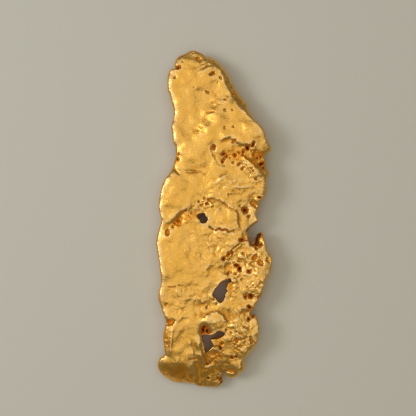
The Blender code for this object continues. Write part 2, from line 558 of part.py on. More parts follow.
def nugget_points(spots):
    """The face's and the back's points over the plan's spots, in nominal millimetres."""
    x = spots[:, 0]
    y = spots[:, 1]
    rim = RIM_LEVEL + lumps(x, y, RIM_NOISE, RIM_LUMPS)
    face = face_height(x, y)
    back = np.minimum(back_height(x, y), face - THINNEST)
    rim = np.clip(rim, back + RIM_CLEAR, face - RIM_CLEAR)
    outline_tree = tree_of(smooth_loop(OUTLINE, RIM_STEP / FINER))
    hole_tree = tree_of(np.vstack([smooth_loop(hole, RIM_STEP / FINER) for hole in HOLES]))
    from_edge = distance_to(outline_tree, spots)
    from_hole = distance_to(hole_tree, spots)
    size, swing = RIM_VARIES
    varied = 1.0 + swing * waves(x, y, size, EDGE_NOISE)
    roll, strip = PILLOW
    face -= roll * np.exp(-from_edge / strip)
    face_share = rim_share(from_edge, from_hole, RIM_RADIUS * varied, HOLE_RADIUS * varied)
    back_share = rim_share(from_edge, from_hole, HULL_RADIUS * varied, HULL_HOLE_RADIUS * varied)
    return (np.column_stack([x, y, rim + (face - rim) * face_share]),
            np.column_stack([x, y, rim + (back - rim) * back_share]))


def build_mesh():
    """One closed mesh: the face and the back share the rim's points."""
    loops = [smooth_loop(points, RIM_STEP) for points in (OUTLINE,) + HOLES]
    spots, triangles, rim_count = triangulate(loops)
    face, back = nugget_points(spots)
    face[:rim_count, 2] = (face[:rim_count, 2] + back[:rim_count, 2]) / 2
    points = np.vstack([face, back[rim_count:]])
    below = np.where(triangles < rim_count, triangles, triangles + len(spots) - rim_count)
    corners = spots[triangles]
    edge_a = corners[:, 1] - corners[:, 0]
    edge_b = corners[:, 2] - corners[:, 0]
    upward = (edge_a[:, 0] * edge_b[:, 1] - edge_a[:, 1] * edge_b[:, 0]) > 0
    above = np.where(upward[:, None], triangles, triangles[:, ::-1])
    below = np.where(upward[:, None], below[:, ::-1], below)
    mesh = bpy.data.meshes.new("nugget")
    mesh.from_pydata(points.tolist(), [], np.vstack([above, below]).tolist())
    mesh.update()
    return mesh


def knock_about(mesh):
    """Push every point in or out along its normal by smooth noise, so that the rim isn't an even curve."""
    normals = [vertex.normal.copy() for vertex in mesh.vertices]
    spots = [vertex.co.copy() for vertex in mesh.vertices]
    for vertex, normal, spot in zip(mesh.vertices, normals, spots):
        for size, stand in SIDE_LUMPS:
            vertex.co += normal * stand * noise.noise(spot / size)


def to_real_size(mesh):
    """Scale the nominal millimetres to the driving dimensions, and wear the lowest places flat at z = 0."""
    points = np.array([vertex.co for vertex in mesh.vertices])
    points[:, 2] = np.maximum(points[:, 2], 0.0)
    points[:, :2] *= LENGTH / np.ptp(points[:, 1])
    points[:, 2] *= THICKNESS / points[:, 2].max()
    mesh.vertices.foreach_set("co", points.ravel())
    mesh.update()


def thin_out(nugget):
    """Spend the triangles where the surface bends most, and keep the worn flats exactly at z = 0."""
    fewer = nugget.modifiers.new("fewer faces", "DECIMATE")
    fewer.ratio = TRIANGLES / len(nugget.data.polygons)
    mesh = bpy.data.meshes.new_from_object(nugget.evaluated_get(bpy.context.evaluated_depsgraph_get()))
    nugget.modifiers.remove(fewer)
    nugget.data = mesh
    for vertex in mesh.vertices:
        if vertex.co.z < FLAT_BAND:
            vertex.co.z = 0.0
    mesh.update()


def gold():
    material = bpy.data.materials.new("gold")
    material.use_nodes = True
    surface = material.node_tree.nodes["Principled BSDF"]
    surface.inputs["Base Color"].default_value = GOLD
    surface.inputs["Metallic"].default_value = 1.0
    surface.inputs["Roughness"].default_value = GOLD_ROUGHNESS
    return material


def main():
    for old in list(bpy.data.objects):
        bpy.data.objects.remove(old)
    mesh = build_mesh()
    knock_about(mesh)
    to_real_size(mesh)
    mesh.materials.append(gold())
    nugget = bpy.data.objects.new("nugget", mesh)
    bpy.context.scene.collection.objects.link(nugget)
    thin_out(nugget)
    nugget.data.shade_smooth()


main()
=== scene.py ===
"""Gold nugget, dressed: the fine waterworn surface, the iron-stained sockets, and the studio that shows them.

The nugget is one piece of native gold on its back. Its mesh is cut from the same named forms as the solid:
an outline with holes, swells, steps, bevels, furrows and pits, here with the finer ones as well. The lists
are in millimetres, with X to the right and Y towards the thin end.
"""
import math

import bpy
import numpy as np
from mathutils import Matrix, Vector, geometry, kdtree, noise


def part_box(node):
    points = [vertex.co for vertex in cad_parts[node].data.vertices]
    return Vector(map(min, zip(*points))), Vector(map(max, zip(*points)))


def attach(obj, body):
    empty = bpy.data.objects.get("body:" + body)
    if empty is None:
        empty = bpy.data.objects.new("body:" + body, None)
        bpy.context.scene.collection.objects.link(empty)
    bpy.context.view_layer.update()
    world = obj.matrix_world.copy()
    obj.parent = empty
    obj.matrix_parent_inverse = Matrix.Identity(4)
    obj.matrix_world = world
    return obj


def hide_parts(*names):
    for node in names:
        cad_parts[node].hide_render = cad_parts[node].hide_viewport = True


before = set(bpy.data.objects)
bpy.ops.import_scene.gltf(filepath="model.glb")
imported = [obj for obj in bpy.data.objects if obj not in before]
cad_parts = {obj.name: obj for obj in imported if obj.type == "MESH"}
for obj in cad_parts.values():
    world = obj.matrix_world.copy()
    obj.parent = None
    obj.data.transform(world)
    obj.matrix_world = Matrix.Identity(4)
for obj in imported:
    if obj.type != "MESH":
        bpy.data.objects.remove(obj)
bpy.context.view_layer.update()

MM = 0.001  # metres in the lists' unit
NODE = "nugget"
NODE_LOW, NODE_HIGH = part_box(NODE)
LENGTH = NODE_HIGH[1] - NODE_LOW[1]
THICKNESS = NODE_HIGH[2] - NODE_LOW[2]

# ---- levels, radii and cut, millimetres ----
RIM_RADIUS = 0.25       # how far in from the edge the face turns over
HOLE_RADIUS = 0.15      # the same at a hole's edge
HULL_RADIUS = 2.4       # how far in the back is still rounding up to the edge, like a hull
HULL_HOLE_RADIUS = 0.8  # the same at a hole's edge
RIM_VARIES = (3.0, 0.45)  # size and swing of the noise that makes the edge sharper or rounder
FACE_LEVEL = 4.3
RIM_LEVEL = 2.9
BACK_LEVEL = 0.7
THINNEST = 0.7
RIM_STEP = 0.16         # between the points of the rim
TRACE_STEP = RIM_STEP / 4  # between the spots that a distance from the edge is measured to
GRID_STEP = 0.135       # between the points of the face and the back
RIM_TURNS = (12, 26, 42, 60)  # degrees round the edge's curve at which rings of points lie
MOST_TRIANGLES = 196000
SEED = 7

# Outline, clockwise from the top end
OUTLINE = (
    (-3.8, 33.6), (-2.4, 32.9), (-1.6, 32.1), (-1.4, 32.3), (-0.8, 32.2), (0.5, 31.4), (1.7, 30.2),
    (3.0, 28.1), (3.2, 27.4), (4.9, 24.8), (6.3, 23.1), (6.8, 21.5), (7.3, 20.9), (7.9, 19.8),
    (8.4, 19.5), (9.7, 17.8), (10.0, 17.1), (10.5, 15.5), (11.2, 14.2), (11.0, 13.6), (10.4, 13.2),
    (9.7, 12.3), (10.1, 11.8), (10.1, 10.5), (10.3, 9.9), (10.8, 9.1), (10.4, 7.7), (10.3, 5.9),
    (9.9, 4.3), (9.0, 3.3), (8.5, 1.7), (8.2, 1.0), (8.7, 0.0), (8.6, -0.6), (8.0, -1.0), (6.5, -2.4),
    (6.8, -3.5), (7.1, -5.1), (7.3, -4.9), (7.7, -4.5), (7.9, -4.0), (8.3, -3.5), (8.4, -3.1),
    (9.4, -2.6), (9.8, -3.9), (10.6, -6.3), (11.3, -7.8), (11.3, -9.8), (10.2, -12.4), (9.6, -14.5),
    (9.6, -15.0), (9.2, -15.6), (8.7, -16.1), (8.4, -16.7), (8.1, -17.0), (8.0, -17.6), (7.2, -18.5),
    (7.3, -19.3), (7.6, -19.3), (7.9, -19.0), (8.6, -19.9), (8.9, -21.4), (8.6, -24.2), (8.0, -25.6),
    (6.4, -27.3), (5.8, -28.4), (6.0, -29.6), (5.2, -30.6), (4.7, -30.9), (4.4, -31.4), (3.2, -31.8),
    (2.7, -31.7), (2.1, -31.3), (2.2, -30.7), (2.0, -30.1), (1.7, -30.2), (1.4, -31.3), (1.6, -32.3),
    (1.5, -33.0), (1.0, -33.5), (-0.5, -33.9), (-3.0, -33.6), (-4.5, -32.9), (-5.6, -33.1), (-7.7, -33.0),
    (-9.2, -32.4), (-10.9, -30.8), (-11.5, -29.4), (-11.1, -28.0), (-10.1, -27.1), (-10.1, -26.4),
    (-10.4, -23.8), (-10.3, -23.0), (-9.8, -20.8), (-10.3, -19.2), (-11.0, -16.9), (-11.3, -16.0),
    (-11.2, -14.2), (-10.8, -12.3), (-11.2, -8.9), (-11.6, -6.1), (-11.7, -4.0), (-10.8, -0.5),
    (-10.8, 0.3), (-11.3, 2.7), (-10.8, 5.8), (-10.2, 7.7), (-9.0, 9.2), (-8.1, 11.4), (-7.8, 13.9),
    (-8.4, 15.6), (-8.7, 18.3), (-8.3, 20.1), (-8.3, 22.0), (-8.6, 22.8), (-9.0, 24.8), (-9.4, 25.4),
    (-9.5, 27.2), (-9.2, 29.2), (-8.6, 30.0), (-8.2, 30.0), (-8.0, 30.3), (-8.1, 30.8), (-7.4, 32.3),
    (-6.0, 33.0), (-4.9, 33.6),
)

# Holes worn right through
HOLES = (
    ((-3.5, 0.6), (-3.2, 0.9), (-2.6, 1.0), (-2.1, 1.0), (-1.9, 0.5), (-1.6, 0.2), (-1.6, -0.3), (-1.9, -0.6),
     (-2.4, -0.7), (-2.8, -0.6), (-2.9, -0.1), (-3.2, 0.2)),
    ((2.8, -11.9), (3.1, -12.1), (3.1, -12.5), (2.6, -12.6), (2.2, -13.6), (2.1, -14.0), (2.4, -14.3),
     (2.1, -14.7), (1.7, -15.9), (1.1, -16.5), (0.7, -16.3), (0.3, -15.8), (-0.2, -15.4), (-0.3, -14.9),
     (0.2, -13.9), (0.6, -13.6), (1.0, -12.9), (1.5, -12.5), (2.5, -12.1)),
    ((-2.3, -23.1), (-0.9, -23.1), (-0.3, -23.1), (0.3, -22.7), (0.8, -22.4), (1.2, -22.5), (1.7, -22.7),
     (1.7, -23.0), (1.1, -23.4), (0.6, -23.7), (-0.1, -23.7), (-0.7, -23.8), (-0.9, -24.2), (-0.5, -25.0),
     (-0.6, -25.5), (-1.4, -26.3), (-1.6, -26.6), (-1.8, -26.5), (-2.1, -25.0), (-2.3, -24.3), (-2.4, -23.7)),
)

# Swells (rise > 0) and hollows (rise < 0) of the face: x, y, half-width, half-height, turn in degrees, rise
FACE_SWELLS = (
    # crown of the upper end, its thin tip, and the plateau on the right shoulder
    (-3.6, 25.0, 4.6, 8.0, 8, 0.25), (-5.0, 31.5, 3.0, 2.2, 0, -0.25), (8.8, 17.3, 5.0, 4.4, 20, 0.55),
    # the pitted hollow under the plateau, and where it runs out of the right side
    (3.6, 12.3, 4.6, 1.8, -4, -0.22), (8.9, 11.6, 1.6, 1.3, 0, -0.2),
    # the waist: a round boss, and the nip on its left
    (-3.5, 12.7, 2.6, 2.0, 0, 0.15), (-7.6, 12.2, 1.2, 2.0, 0, -0.14),
    # the upper left plate, the rippled middle, and a slanted plate on the right
    (-7.0, 5.0, 3.8, 4.0, 0, 0.35), (2.4, 7.2, 4.2, 2.2, -12, 0.3), (7.4, 10.6, 1.4, 3.0, 38, 0.5),
    # two knobs over the small hole, and the plate to its right
    (-1.9, 3.6, 0.7, 0.6, 0, 0.15), (-0.7, 2.9, 0.6, 0.7, 0, 0.12), (2.6, -0.6, 2.4, 2.6, 0, 0.1),
    # the lower left plate, the neck behind the notch, and the hollow of the horn
    (-9.4, -8.5, 4.5, 5.0, 0, 0.2), (6.6, -2.2, 1.6, 1.4, 0, -0.1), (9.0, -3.8, 0.9, 1.6, -15, -0.35),
    # the stained hollow over the middle hole, and the lumpy right side
    (2.5, -9.9, 1.4, 1.2, 0, -0.35), (10.6, -13.0, 3.0, 4.0, 15, 0.4),
    # the boss under the arc ledge, and the hollows over and under the lower hole
    (-0.5, -20.2, 2.6, 1.5, 0, 0.3), (-2.2, -22.2, 1.1, 1.0, 0, -0.5), (-0.8, -27.8, 1.5, 1.3, 20, -0.5),
    # lumps right of the lower hole, and the small lobe beside the slot
    (5.0, -22.0, 2.2, 2.4, 0, 0.3), (4.1, -30.0, 1.8, 1.6, 0, 0.3),
    # the bulbous lobe at the foot
    (-7.2, -28.6, 4.4, 2.8, -6, 0.3),
)

# Steps: height, softness, reach, then the step's line. The left of the line is the high side
FACE_STEPS = (
    # the plateau's lower edge
    (0.26, 0.28, 1.6, ((1.8, 15.8), (3.2, 16.2), (4.0, 15.2), (5.0, 14.6), (6.4, 14.8))),
    # the arc round the pitted hollow
    (0.15, 0.14, 1.5, ((1.4, 10.6), (0.2, 10.8), (-0.3, 12.2), (-0.6, 13.4))),
    # the slanted plate's edge
    (0.7, 0.18, 1.6, ((9.6, 8.4), (9.0, 9.8), (7.8, 11.2), (6.2, 12.2))),
    # the long curved step, and the same turned down the right of the small hole
    (0.18, 0.1, 1.0, ((-2.7, 5.0), (-1.0, 4.0), (1.0, 3.8), (3.0, 2.4), (4.2, 1.9))),
    (0.3, 0.14, 2.2, ((6.8, -4.6), (5.4, -3.4), (4.9, -2.2), (4.7, -0.2), (4.3, 1.4))),
    # the arc ledge over the lower hole, and the ledge on its left
    (0.4, 0.18, 2.0, ((2.2, -19.8), (0.8, -18.4), (-0.8, -18.5), (-1.8, -18.9), (-2.5, -19.8))),
    (0.08, 0.16, 1.6, ((-7.6, -20.6), (-6.4, -19.7), (-5.0, -19.9), (-3.4, -20.0))),
    # the wall left of the lower hole, and the ledge outside it
    (0.42, 0.32, 1.0, ((-2.1, -27.2), (-2.7, -25.8), (-2.9, -24.4), (-3.0, -23.0), (-2.8, -21.8))),
    (0.25, 0.1, 1.0, ((-4.2, -26.4), (-4.4, -25.6), (-4.7, -24.8))),
    # the fall right of the arc ledge
    (0.3, 0.45, 1.6, ((2.6, -18.4), (4.2, -18.7), (5.8, -18.2))),
    # the left plate's fall, from the middle hole up to the notch
    (0.38, 0.8, 2.4, ((-0.9, -9.8), (1.4, -7.9), (3.4, -6.4), (5.0, -5.2))),
)

# Broad banks, written as steps
FACE_BANKS = (
    # the fall of the rippled part towards the foot
    (0.44, 1.6, 3.0, ((-12.0, -16.4), (-7.0, -16.0), (-3.0, -16.4))),
    # the west side of the plateau
    (1.3, 2.0, 4.5, ((0.3, 23.4), (-0.2, 22.0), (-1.4, 19.6), (-3.0, 17.6))),
)

# Bevels, where the face falls away right of the line: fall per mm, greatest fall, softness of its start, line
FACE_BEVELS = (
    # the right shoulder
    (0.56, 2.0, 0.5, ((10.4, 15.8), (9.2, 17.8), (7.1, 19.8), (4.9, 21.8), (3.7, 23.7), (2.5, 25.8),
                      (1.8, 27.9), (0.5, 29.6), (-0.6, 30.8), (-1.8, 32.0))),
    # the thin top end
    (0.37, 1.2, 3.5, ((-0.2, 29.6), (-2.6, 30.4), (-4.4, 31.0), (-7.0, 31.0))),
    # the strip down the left side
    (0.12, 1.0, 0.4, ((-8.2, -21.0), (-8.6, -23.2), (-8.8, -26.2), (-9.2, -27.4))),
    # the lower right corner
    (0.6, 2.0, 0.4, ((5.0, -28.4), (5.8, -26.6), (7.0, -25.2), (8.2, -24.2))),
    # the whole foot
    (0.3, 2.0, 9.0, ((-12.0, -21.6), (-4.0, -21.8), (2.0, -22.6), (9.0, -25.6))),
    # the foot right of the lobe
    (0.24, 0.5, 2.0, ((-3.4, -26.9), (-0.4, -26.7), (3.0, -27.0), (6.4, -27.6))),
    # the lobe's underside
    (0.66, 3.0, 8.0, ((-12.6, -28.7), (-9.4, -28.5), (-7.0, -28.3), (-5.2, -28.7), (-3.6, -29.7))),
)

# Furrows (depth > 0) and folds (depth < 0): depth, half-width, how dark what lies in them is, then the line
FACE_FURROWS = (
    # the slanted socket near the top
    (0.32, 0.19, 0.8, ((-0.75, 28.7), (-0.3, 28.92))),
    # the fold under the boss, its lip, and the nick at the waist
    (0.05, 0.45, 0, ((-6.0, 10.6), (-3.0, 10.4), (0.2, 10.8))),
    (-0.14, 0.16, 0, ((-6.8, 9.7), (-4.4, 9.4), (-1.4, 9.0))),
    (0.4, 0.22, 0.3, ((-8.2, 10.2), (-7.1, 9.0))),
    # the band that runs into the small hole, and the open crack under it
    (0.42, 0.8, 0, ((-9.6, -2.0), (-8.0, -0.6), (-6.6, 0.8), (-4.0, 1.6), (-2.4, 2.0))),
    (0.3, 0.12, 0.8, ((-1.1, -1.5), (-0.4, -2.0))),
    (0.5, 0.11, 0.95, ((0.1, -2.2), (0.8, -1.95), (1.4, -2.35), (2.2, -2.15), (2.8, -2.55), (3.4, -2.35),
                       (4.0, -2.6))),
    # short furrows down the right side
    (0.35, 0.3, 0.2, ((4.8, -8.2), (6.2, -8.7))),
    (0.45, 0.25, 0.5, ((5.1, -22.7), (6.2, -23.6))),
    (0.45, 0.25, 0.5, ((7.2, -23.4), (7.4, -24.8))),
    # the gully down the foot, the nick over the lobe, and the crease at the very foot
    (0.08, 0.4, 0.1, ((-2.2, -26.6), (-1.8, -27.8), (-1.6, -29.2))),
    (0.35, 0.14, 0.4, ((-5.0, -28.0), (-3.6, -28.1))),
    (0.22, 0.3, 0.1, ((-5.6, -31.6), (-4.6, -32.2), (-3.9, -33.2))),
    # an upright lump beside the middle hole
    (-0.14, 0.45, 0, ((3.9, -12.2), (3.9, -13.8))),
    # scratches and slashes on the upper end
    (0.22, 0.16, 0.4, ((-1.8, 25.4), (-1.2, 25.0))),
    (-0.06, 0.18, 0, ((-4.4, 26.4), (-4.6, 25.2))),
    (-0.06, 0.18, 0, ((-3.6, 26.4), (-3.6, 25.0))),
    (0.1, 0.2, 0, ((-1.6, 21.2), (-0.4, 21.3))),
    # two faint dashes along the fold's lip
    (0.05, 0.2, 0, ((-4.2, 9.1), (-3.4, 9.2))),
    (0.06, 0.18, 0.1, ((-3.0, 9.4), (-1.4, 9.1))),
    # small furrows lower down
    (0.22, 0.16, 0.6, ((5.0, -4.9), (3.6, -6.1), (2.6, -7.0), (1.4, -7.9), (0.8, -8.6))),
    (0.16, 0.14, 0.4, ((7.0, -8.9), (8.2, -8.3), (9.4, -8.2))),
    (0.2, 0.18, 0.3, ((-9.0, -13.6), (-7.8, -13.4))),
    (0.15, 0.16, 0.2, ((-7.0, -13.1), (-6.2, -13.3))),
    (0.12, 0.18, 0.6, ((-2.2, -26.6), (-1.8, -27.8), (-1.6, -29.0))),
    (0.16, 0.16, 0.6, ((-1.6, -26.8), (-0.4, -26.9), (0.6, -26.7))),
    (0.18, 0.18, 0.7, ((-1.5, -28.8), (-0.6, -28.1), (0.4, -27.5), (1.2, -27.3))),
    (-0.12, 0.3, 0, ((-8.3, -21.8), (-8.7, -24.0), (-8.9, -26.2), (-9.1, -27.2))),
    (0.3, 0.16, 0.5, ((2.4, -30.5), (3.4, -30.6))),
    (0.25, 0.16, 0.4, ((5.8, -21.2), (6.8, -21.9))),
)

# Sockets of lost ironstone grains: x, y, radius, depth, and how dark what is left in them is, 0 to 1
FACE_PITS = (
    # the upper end
    (-7.4, 30.0, 0.35, 0.45, 0.7), (-3.2, 32.0, 0.37, 0.35, 0.3), (1.0, 28.1, 0.3, 0.22, 0.1),
    (3.7, 25.0, 0.31, 0.35, 0.5),
    # the pitted hollow under the plateau
    (-0.1, 14.0, 0.35, 0.5, 0.75), (1.7, 12.9, 0.31, 0.6, 1.0), (1.4, 11.6, 0.3, 0.45, 0.8),
    (3.9, 12.7, 0.3, 0.45, 0.75), (5.6, 13.2, 0.3, 0.45, 0.8), (6.3, 14.2, 0.36, 0.8, 1.0),
    (7.5, 14.9, 0.33, 0.7, 0.9), (8.4, 12.8, 0.62, 0.25, 0.2), (9.4, 11.0, 0.42, 0.8, 1.0),
    # round the small hole, and down the right side to the horn
    (7.8, 3.2, 0.66, 0.3, 0.42), (6.0, 1.7, 0.48, 0.7, 0.75), (-7.3, -0.4, 0.37, 0.45, 0.6),
    (-9.4, -2.6, 0.44, 0.35, 0.3), (5.6, -4.2, 0.4, 0.7, 0.8), (8.4, -4.1, 0.35, 0.6, 1.0),
    (8.9, -3.1, 0.33, 0.4, 0.7), (9.0, -5.0, 0.3, 0.4, 0.8),
    # between the horn and the middle hole
    (2.7, -6.9, 0.3, 0.45, 0.8), (1.7, -7.8, 0.32, 0.5, 0.9), (7.9, -7.6, 0.48, 0.4, 0.4),
    (9.3, -8.8, 0.42, 0.35, 0.4), (10.6, -8.2, 0.37, 0.22, 0.2), (4.2, -9.3, 0.33, 0.9, 0.9),
    (4.8, -10.1, 0.37, 1.1, 1.0), (6.9, -10.3, 0.37, 0.6, 0.8),
    # the lower right side
    (6.1, -15.3, 0.3, 0.45, 0.8), (7.1, -15.4, 0.35, 0.6, 1.0), (6.8, -17.5, 0.37, 0.65, 1.0),
    (6.8, -19.9, 0.32, 0.55, 0.9), (4.3, -24.1, 0.32, 0.45, 0.6), (3.4, -27.7, 0.3, 0.4, 0.9),
    # the foot
    (-8.8, -20.5, 0.53, 0.4, 0.35), (-2.3, -22.0, 0.4, 0.8, 1.0), (-1.4, -22.3, 0.44, 0.8, 1.0),
    (1.5, -24.8, 0.3, 0.4, 0.9), (-10.0, -30.9, 0.37, 0.22, 0.1), (0.9, -32.0, 0.3, 0.45, 1.0),
    # smaller ones on the upper end
    (-1.5, 30.4, 0.26, 0.22, 0.3), (1.9, 23.7, 0.2, 0.2, 0.4), (-8.1, 28.0, 0.2, 0.15, 0.2),
    (-6.6, 31.4, 0.16, 0.12, 0.2), (-4.2, 33.0, 0.16, 0.15, 0.2), (0.6, 27.0, 0.14, 0.12, 0.1),
    (-4.3, 26.1, 0.12, 0.12, 0.3), (2.0, 21.7, 0.22, 0.16, 0.3), (3.4, 21.5, 0.2, 0.16, 0.3),
    # smaller ones on the plateau and in the pitted hollow
    (2.0, 18.1, 0.17, 0.2, 0.7), (3.6, 18.3, 0.2, 0.16, 0.5), (3.7, 15.5, 0.28, 0.3, 0.4),
    (2.3, 12.3, 0.24, 0.35, 0.7), (1.9, 11.9, 0.2, 0.3, 0.7), (4.7, 13.1, 0.24, 0.3, 0.7),
    (5.5, 12.6, 0.24, 0.4, 0.8), (3.0, 12.0, 0.16, 0.2, 0.6), (2.9, 13.6, 0.16, 0.18, 0.5),
    (7.8, 12.8, 0.22, 0.3, 0.8), (8.4, 12.2, 0.24, 0.3, 0.8), (9.0, 12.3, 0.24, 0.35, 0.9),
    (7.2, 13.6, 0.2, 0.25, 0.6), (8.3, 13.6, 0.2, 0.22, 0.5), (7.6, 11.4, 0.2, 0.2, 0.5),
    (9.8, 10.0, 0.26, 0.4, 0.8), (4.8, 10.9, 0.28, 0.35, 0.7), (5.6, 9.9, 0.25, 0.35, 0.7),
    (3.6, 11.2, 0.2, 0.22, 0.4), (7.3, 10.1, 0.22, 0.25, 0.6), (7.5, 9.6, 0.22, 0.25, 0.6),
    (7.9, 7.9, 0.2, 0.3, 0.9), (-7.5, 12.1, 0.28, 0.3, 0.9), (-7.4, 13.0, 0.2, 0.2, 0.5),
    # smaller ones round the small hole
    (8.8, 4.3, 0.24, 0.45, 1.0), (6.7, 0.6, 0.28, 0.4, 0.7), (2.7, 4.8, 0.18, 0.2, 0.5),
    (-3.3, 3.4, 0.2, 0.3, 0.8), (-1.4, 2.9, 0.26, 0.4, 0.8), (-5.8, 1.7, 0.26, 0.35, 0.9),
    (-6.6, 1.1, 0.26, 0.3, 0.7), (-4.6, 1.2, 0.18, 0.2, 0.5), (-7.9, -1.0, 0.3, 0.25, 0.7),
    (-7.1, -1.1, 0.26, 0.22, 0.5), (-8.3, -1.6, 0.2, 0.18, 0.6), (-0.9, 3.7, 0.2, 0.2, 0.4),
    (-2.2, 4.1, 0.22, 0.18, 0.3), (-0.4, 2.3, 0.18, 0.16, 0.3), (5.2, 2.6, 0.16, 0.16, 0.4),
    # the horn: two wide rusty ones, the smaller ones in them, and on to the middle hole
    (7.3, -5.1, 0.26, 0.3, 0.8), (8.0, -5.5, 0.26, 0.4, 0.9), (8.1, -4.8, 0.34, 0.25, 0.9),
    (8.7, -3.5, 0.85, 0.1, 0.95), (8.3, -4.7, 0.7, 0.08, 0.9), (7.6, -4.9, 0.22, 0.2, 0.8),
    (8.7, -4.4, 0.24, 0.2, 0.7),
    (8.6, -2.5, 0.2, 0.25, 0.8), (3.5, -6.6, 0.24, 0.35, 0.7), (2.6, -10.6, 0.26, 0.35, 0.8),
    (3.3, -10.5, 0.18, 0.25, 0.7), (4.1, -10.9, 0.18, 0.25, 0.7), (3.8, -8.6, 0.2, 0.2, 0.4),
    (5.8, -7.0, 0.2, 0.18, 0.3), (2.0, -9.4, 0.24, 0.2, 0.3),
    # smaller ones down the lower right side
    (2.1, -14.4, 0.22, 0.25, 0.8), (1.8, -15.2, 0.2, 0.25, 0.9), (1.5, -15.9, 0.2, 0.2, 0.8),
    (8.6, -15.5, 0.2, 0.4, 0.9), (6.6, -18.4, 0.2, 0.3, 0.8), (5.2, -12.0, 0.2, 0.2, 0.4),
    (6.4, -13.4, 0.2, 0.2, 0.4), (7.6, -13.0, 0.18, 0.18, 0.4), (4.1, -24.9, 0.18, 0.35, 1.0),
    (4.1, -27.4, 0.2, 0.35, 1.0), (3.2, -22.6, 0.18, 0.22, 0.5), (5.2, -25.2, 0.2, 0.22, 0.4),
    # smaller ones at the foot
    (-1.6, -17.4, 0.24, 0.25, 0.8), (0.3, -16.9, 0.16, 0.2, 0.7), (-0.4, -15.8, 0.16, 0.2, 0.6),
    (-9.7, -16.9, 0.28, 0.2, 0.4), (-1.9, -21.6, 0.31, 0.5, 0.9), (2.2, -22.2, 0.2, 0.25, 0.8),
    (1.0, -25.5, 0.26, 0.4, 0.9), (1.5, -26.1, 0.2, 0.25, 0.7), (-0.4, -27.9, 0.22, 0.25, 0.8),
    (0.7, -27.6, 0.2, 0.22, 0.7), (0.1, -26.8, 0.2, 0.22, 0.6), (-1.6, -28.8, 0.2, 0.25, 0.7),
    (-9.8, -23.8, 0.22, 0.2, 0.6), (-9.7, -24.8, 0.22, 0.2, 0.7), (-1.5, -31.9, 0.22, 0.5, 1.0),
    (0.4, -31.8, 0.22, 0.4, 1.0), (1.3, -32.5, 0.24, 0.4, 1.0),
)

# Iron-oxide stain on the gold round them: x, y, half-width, half-height, turn in degrees, strength
STAINS = (
    (-3.2, 32.0, 0.9, 1.0, 0, 0.6), (-0.4, 28.9, 0.9, 0.7, -25, 0.6), (-1.0, 21.2, 0.8, 0.3, 0, 0.5),
    (-1.4, 25.2, 0.5, 0.3, -35, 0.5), (1.7, 21.7, 0.8, 0.3, 0, 0.2), (3.7, 25.0, 0.6, 0.5, 0, 0.6),
    (4.0, 12.9, 4.4, 1.9, 6, 0.85), (8.3, 12.4, 1.8, 2.2, 0, 0.95), (9.3, 10.8, 1.0, 1.4, 0, 0.6),
    (5.8, 14.4, 2.0, 0.6, 0, 0.6), (-7.6, 12.2, 0.5, 1.5, 0, 1.0), (-3.8, 9.3, 2.6, 0.24, -4, 0.8),
    (1.8, -0.2, 1.8, 1.0, 0, 0.6), (-0.6, 3.0, 1.0, 0.8, 0, 0.5),
    (-7.6, 9.6, 0.6, 0.6, 0, 0.5), (7.8, 3.1, 0.7, 0.9, 0, 0.8), (6.0, 1.6, 0.7, 0.7, 0, 0.6),
    (-5.0, 0.4, 3.2, 1.2, 24, 0.85), (-7.4, -0.9, 1.6, 1.2, 20, 1.0), (-9.4, -2.6, 0.8, 0.8, 0, 0.7),
    (-10.1, -0.2, 0.6, 0.6, 0, 0.4), (-1.2, 3.2, 2.2, 1.5, 0, 0.5), (0.8, -2.2, 2.4, 0.35, 0, 0.3),
    (5.4, -3.8, 0.7, 1.1, 0, 0.8), (8.6, -3.9, 0.9, 1.8, -15, 0.9), (2.6, -7.2, 1.8, 0.9, 25, 0.7),
    (8.3, -8.1, 1.6, 0.9, -30, 0.6), (2.6, -10.0, 1.0, 1.1, 0, 0.8), (4.5, -9.8, 1.1, 1.2, 0, 0.7),
    (2.9, -13.6, 0.7, 2.0, 12, 1.0), (6.6, -15.4, 1.1, 0.6, 0, 0.6), (6.9, -18.0, 0.7, 1.4, 0, 0.6),
    (-2.8, -15.4, 0.5, 0.4, 0, 0.3), (-9.0, -16.8, 1.6, 1.2, 0, 0.65), (-8.8, -20.4, 0.8, 0.8, 0, 0.9),
    (-9.7, -24.0, 0.7, 3.0, -6, 0.75), (-1.9, -22.2, 1.2, 0.9, 0, 0.9), (0.8, -24.5, 1.4, 1.5, 0, 0.85),
    (-1.0, -27.4, 1.0, 1.4, 25, 0.7), (0.6, -27.2, 1.8, 0.7, 12, 0.8), (2.6, -28.2, 1.6, 0.5, -20, 0.5),
    (4.1, -24.3, 0.8, 1.0, 0, 0.6), (3.9, -27.2, 1.0, 0.7, 0, 0.4),
    (-4.6, -32.2, 1.0, 0.5, -35, 0.7), (-10.0, -30.9, 0.6, 0.5, 0, 0.7), (0.9, -31.8, 0.7, 0.7, 0, 0.5),
    (3.0, -30.4, 1.2, 0.5, 0, 0.3), (-8.4, -13.5, 1.4, 0.4, 0, 0.3),
)

# The back: swells above BACK_LEVEL lift clear of the ground, and hollows below it are worn to flats at z = 0
BACK_SWELLS = (
    (-3.0, 26.0, 3.2, 3.4, 0, -1.5), (5.0, 17.0, 2.6, 2.6, 0, -1.1), (-7.4, 4.0, 2.6, 3.6, 0, -1.3),
    (5.6, -9.4, 3.4, 3.0, 0, -1.5), (-6.4, -27.0, 3.0, 2.6, 0, -1.5), (4.4, -24.6, 2.2, 2.2, 0, -1.1),
    (0.0, 12.6, 6.0, 2.6, 6, 0.8), (-1.0, -16.0, 5.0, 3.0, -20, 0.7), (-6.5, 15.5, 2.0, 3.0, 0, 0.5),
    (1.0, 2.0, 3.4, 3.0, 0, 0.6), (-5.0, -15.0, 2.6, 2.2, 0, 0.4),
)
BACK_PITS = 26
BACK_PIT_RADIUS = (0.3, 0.8)

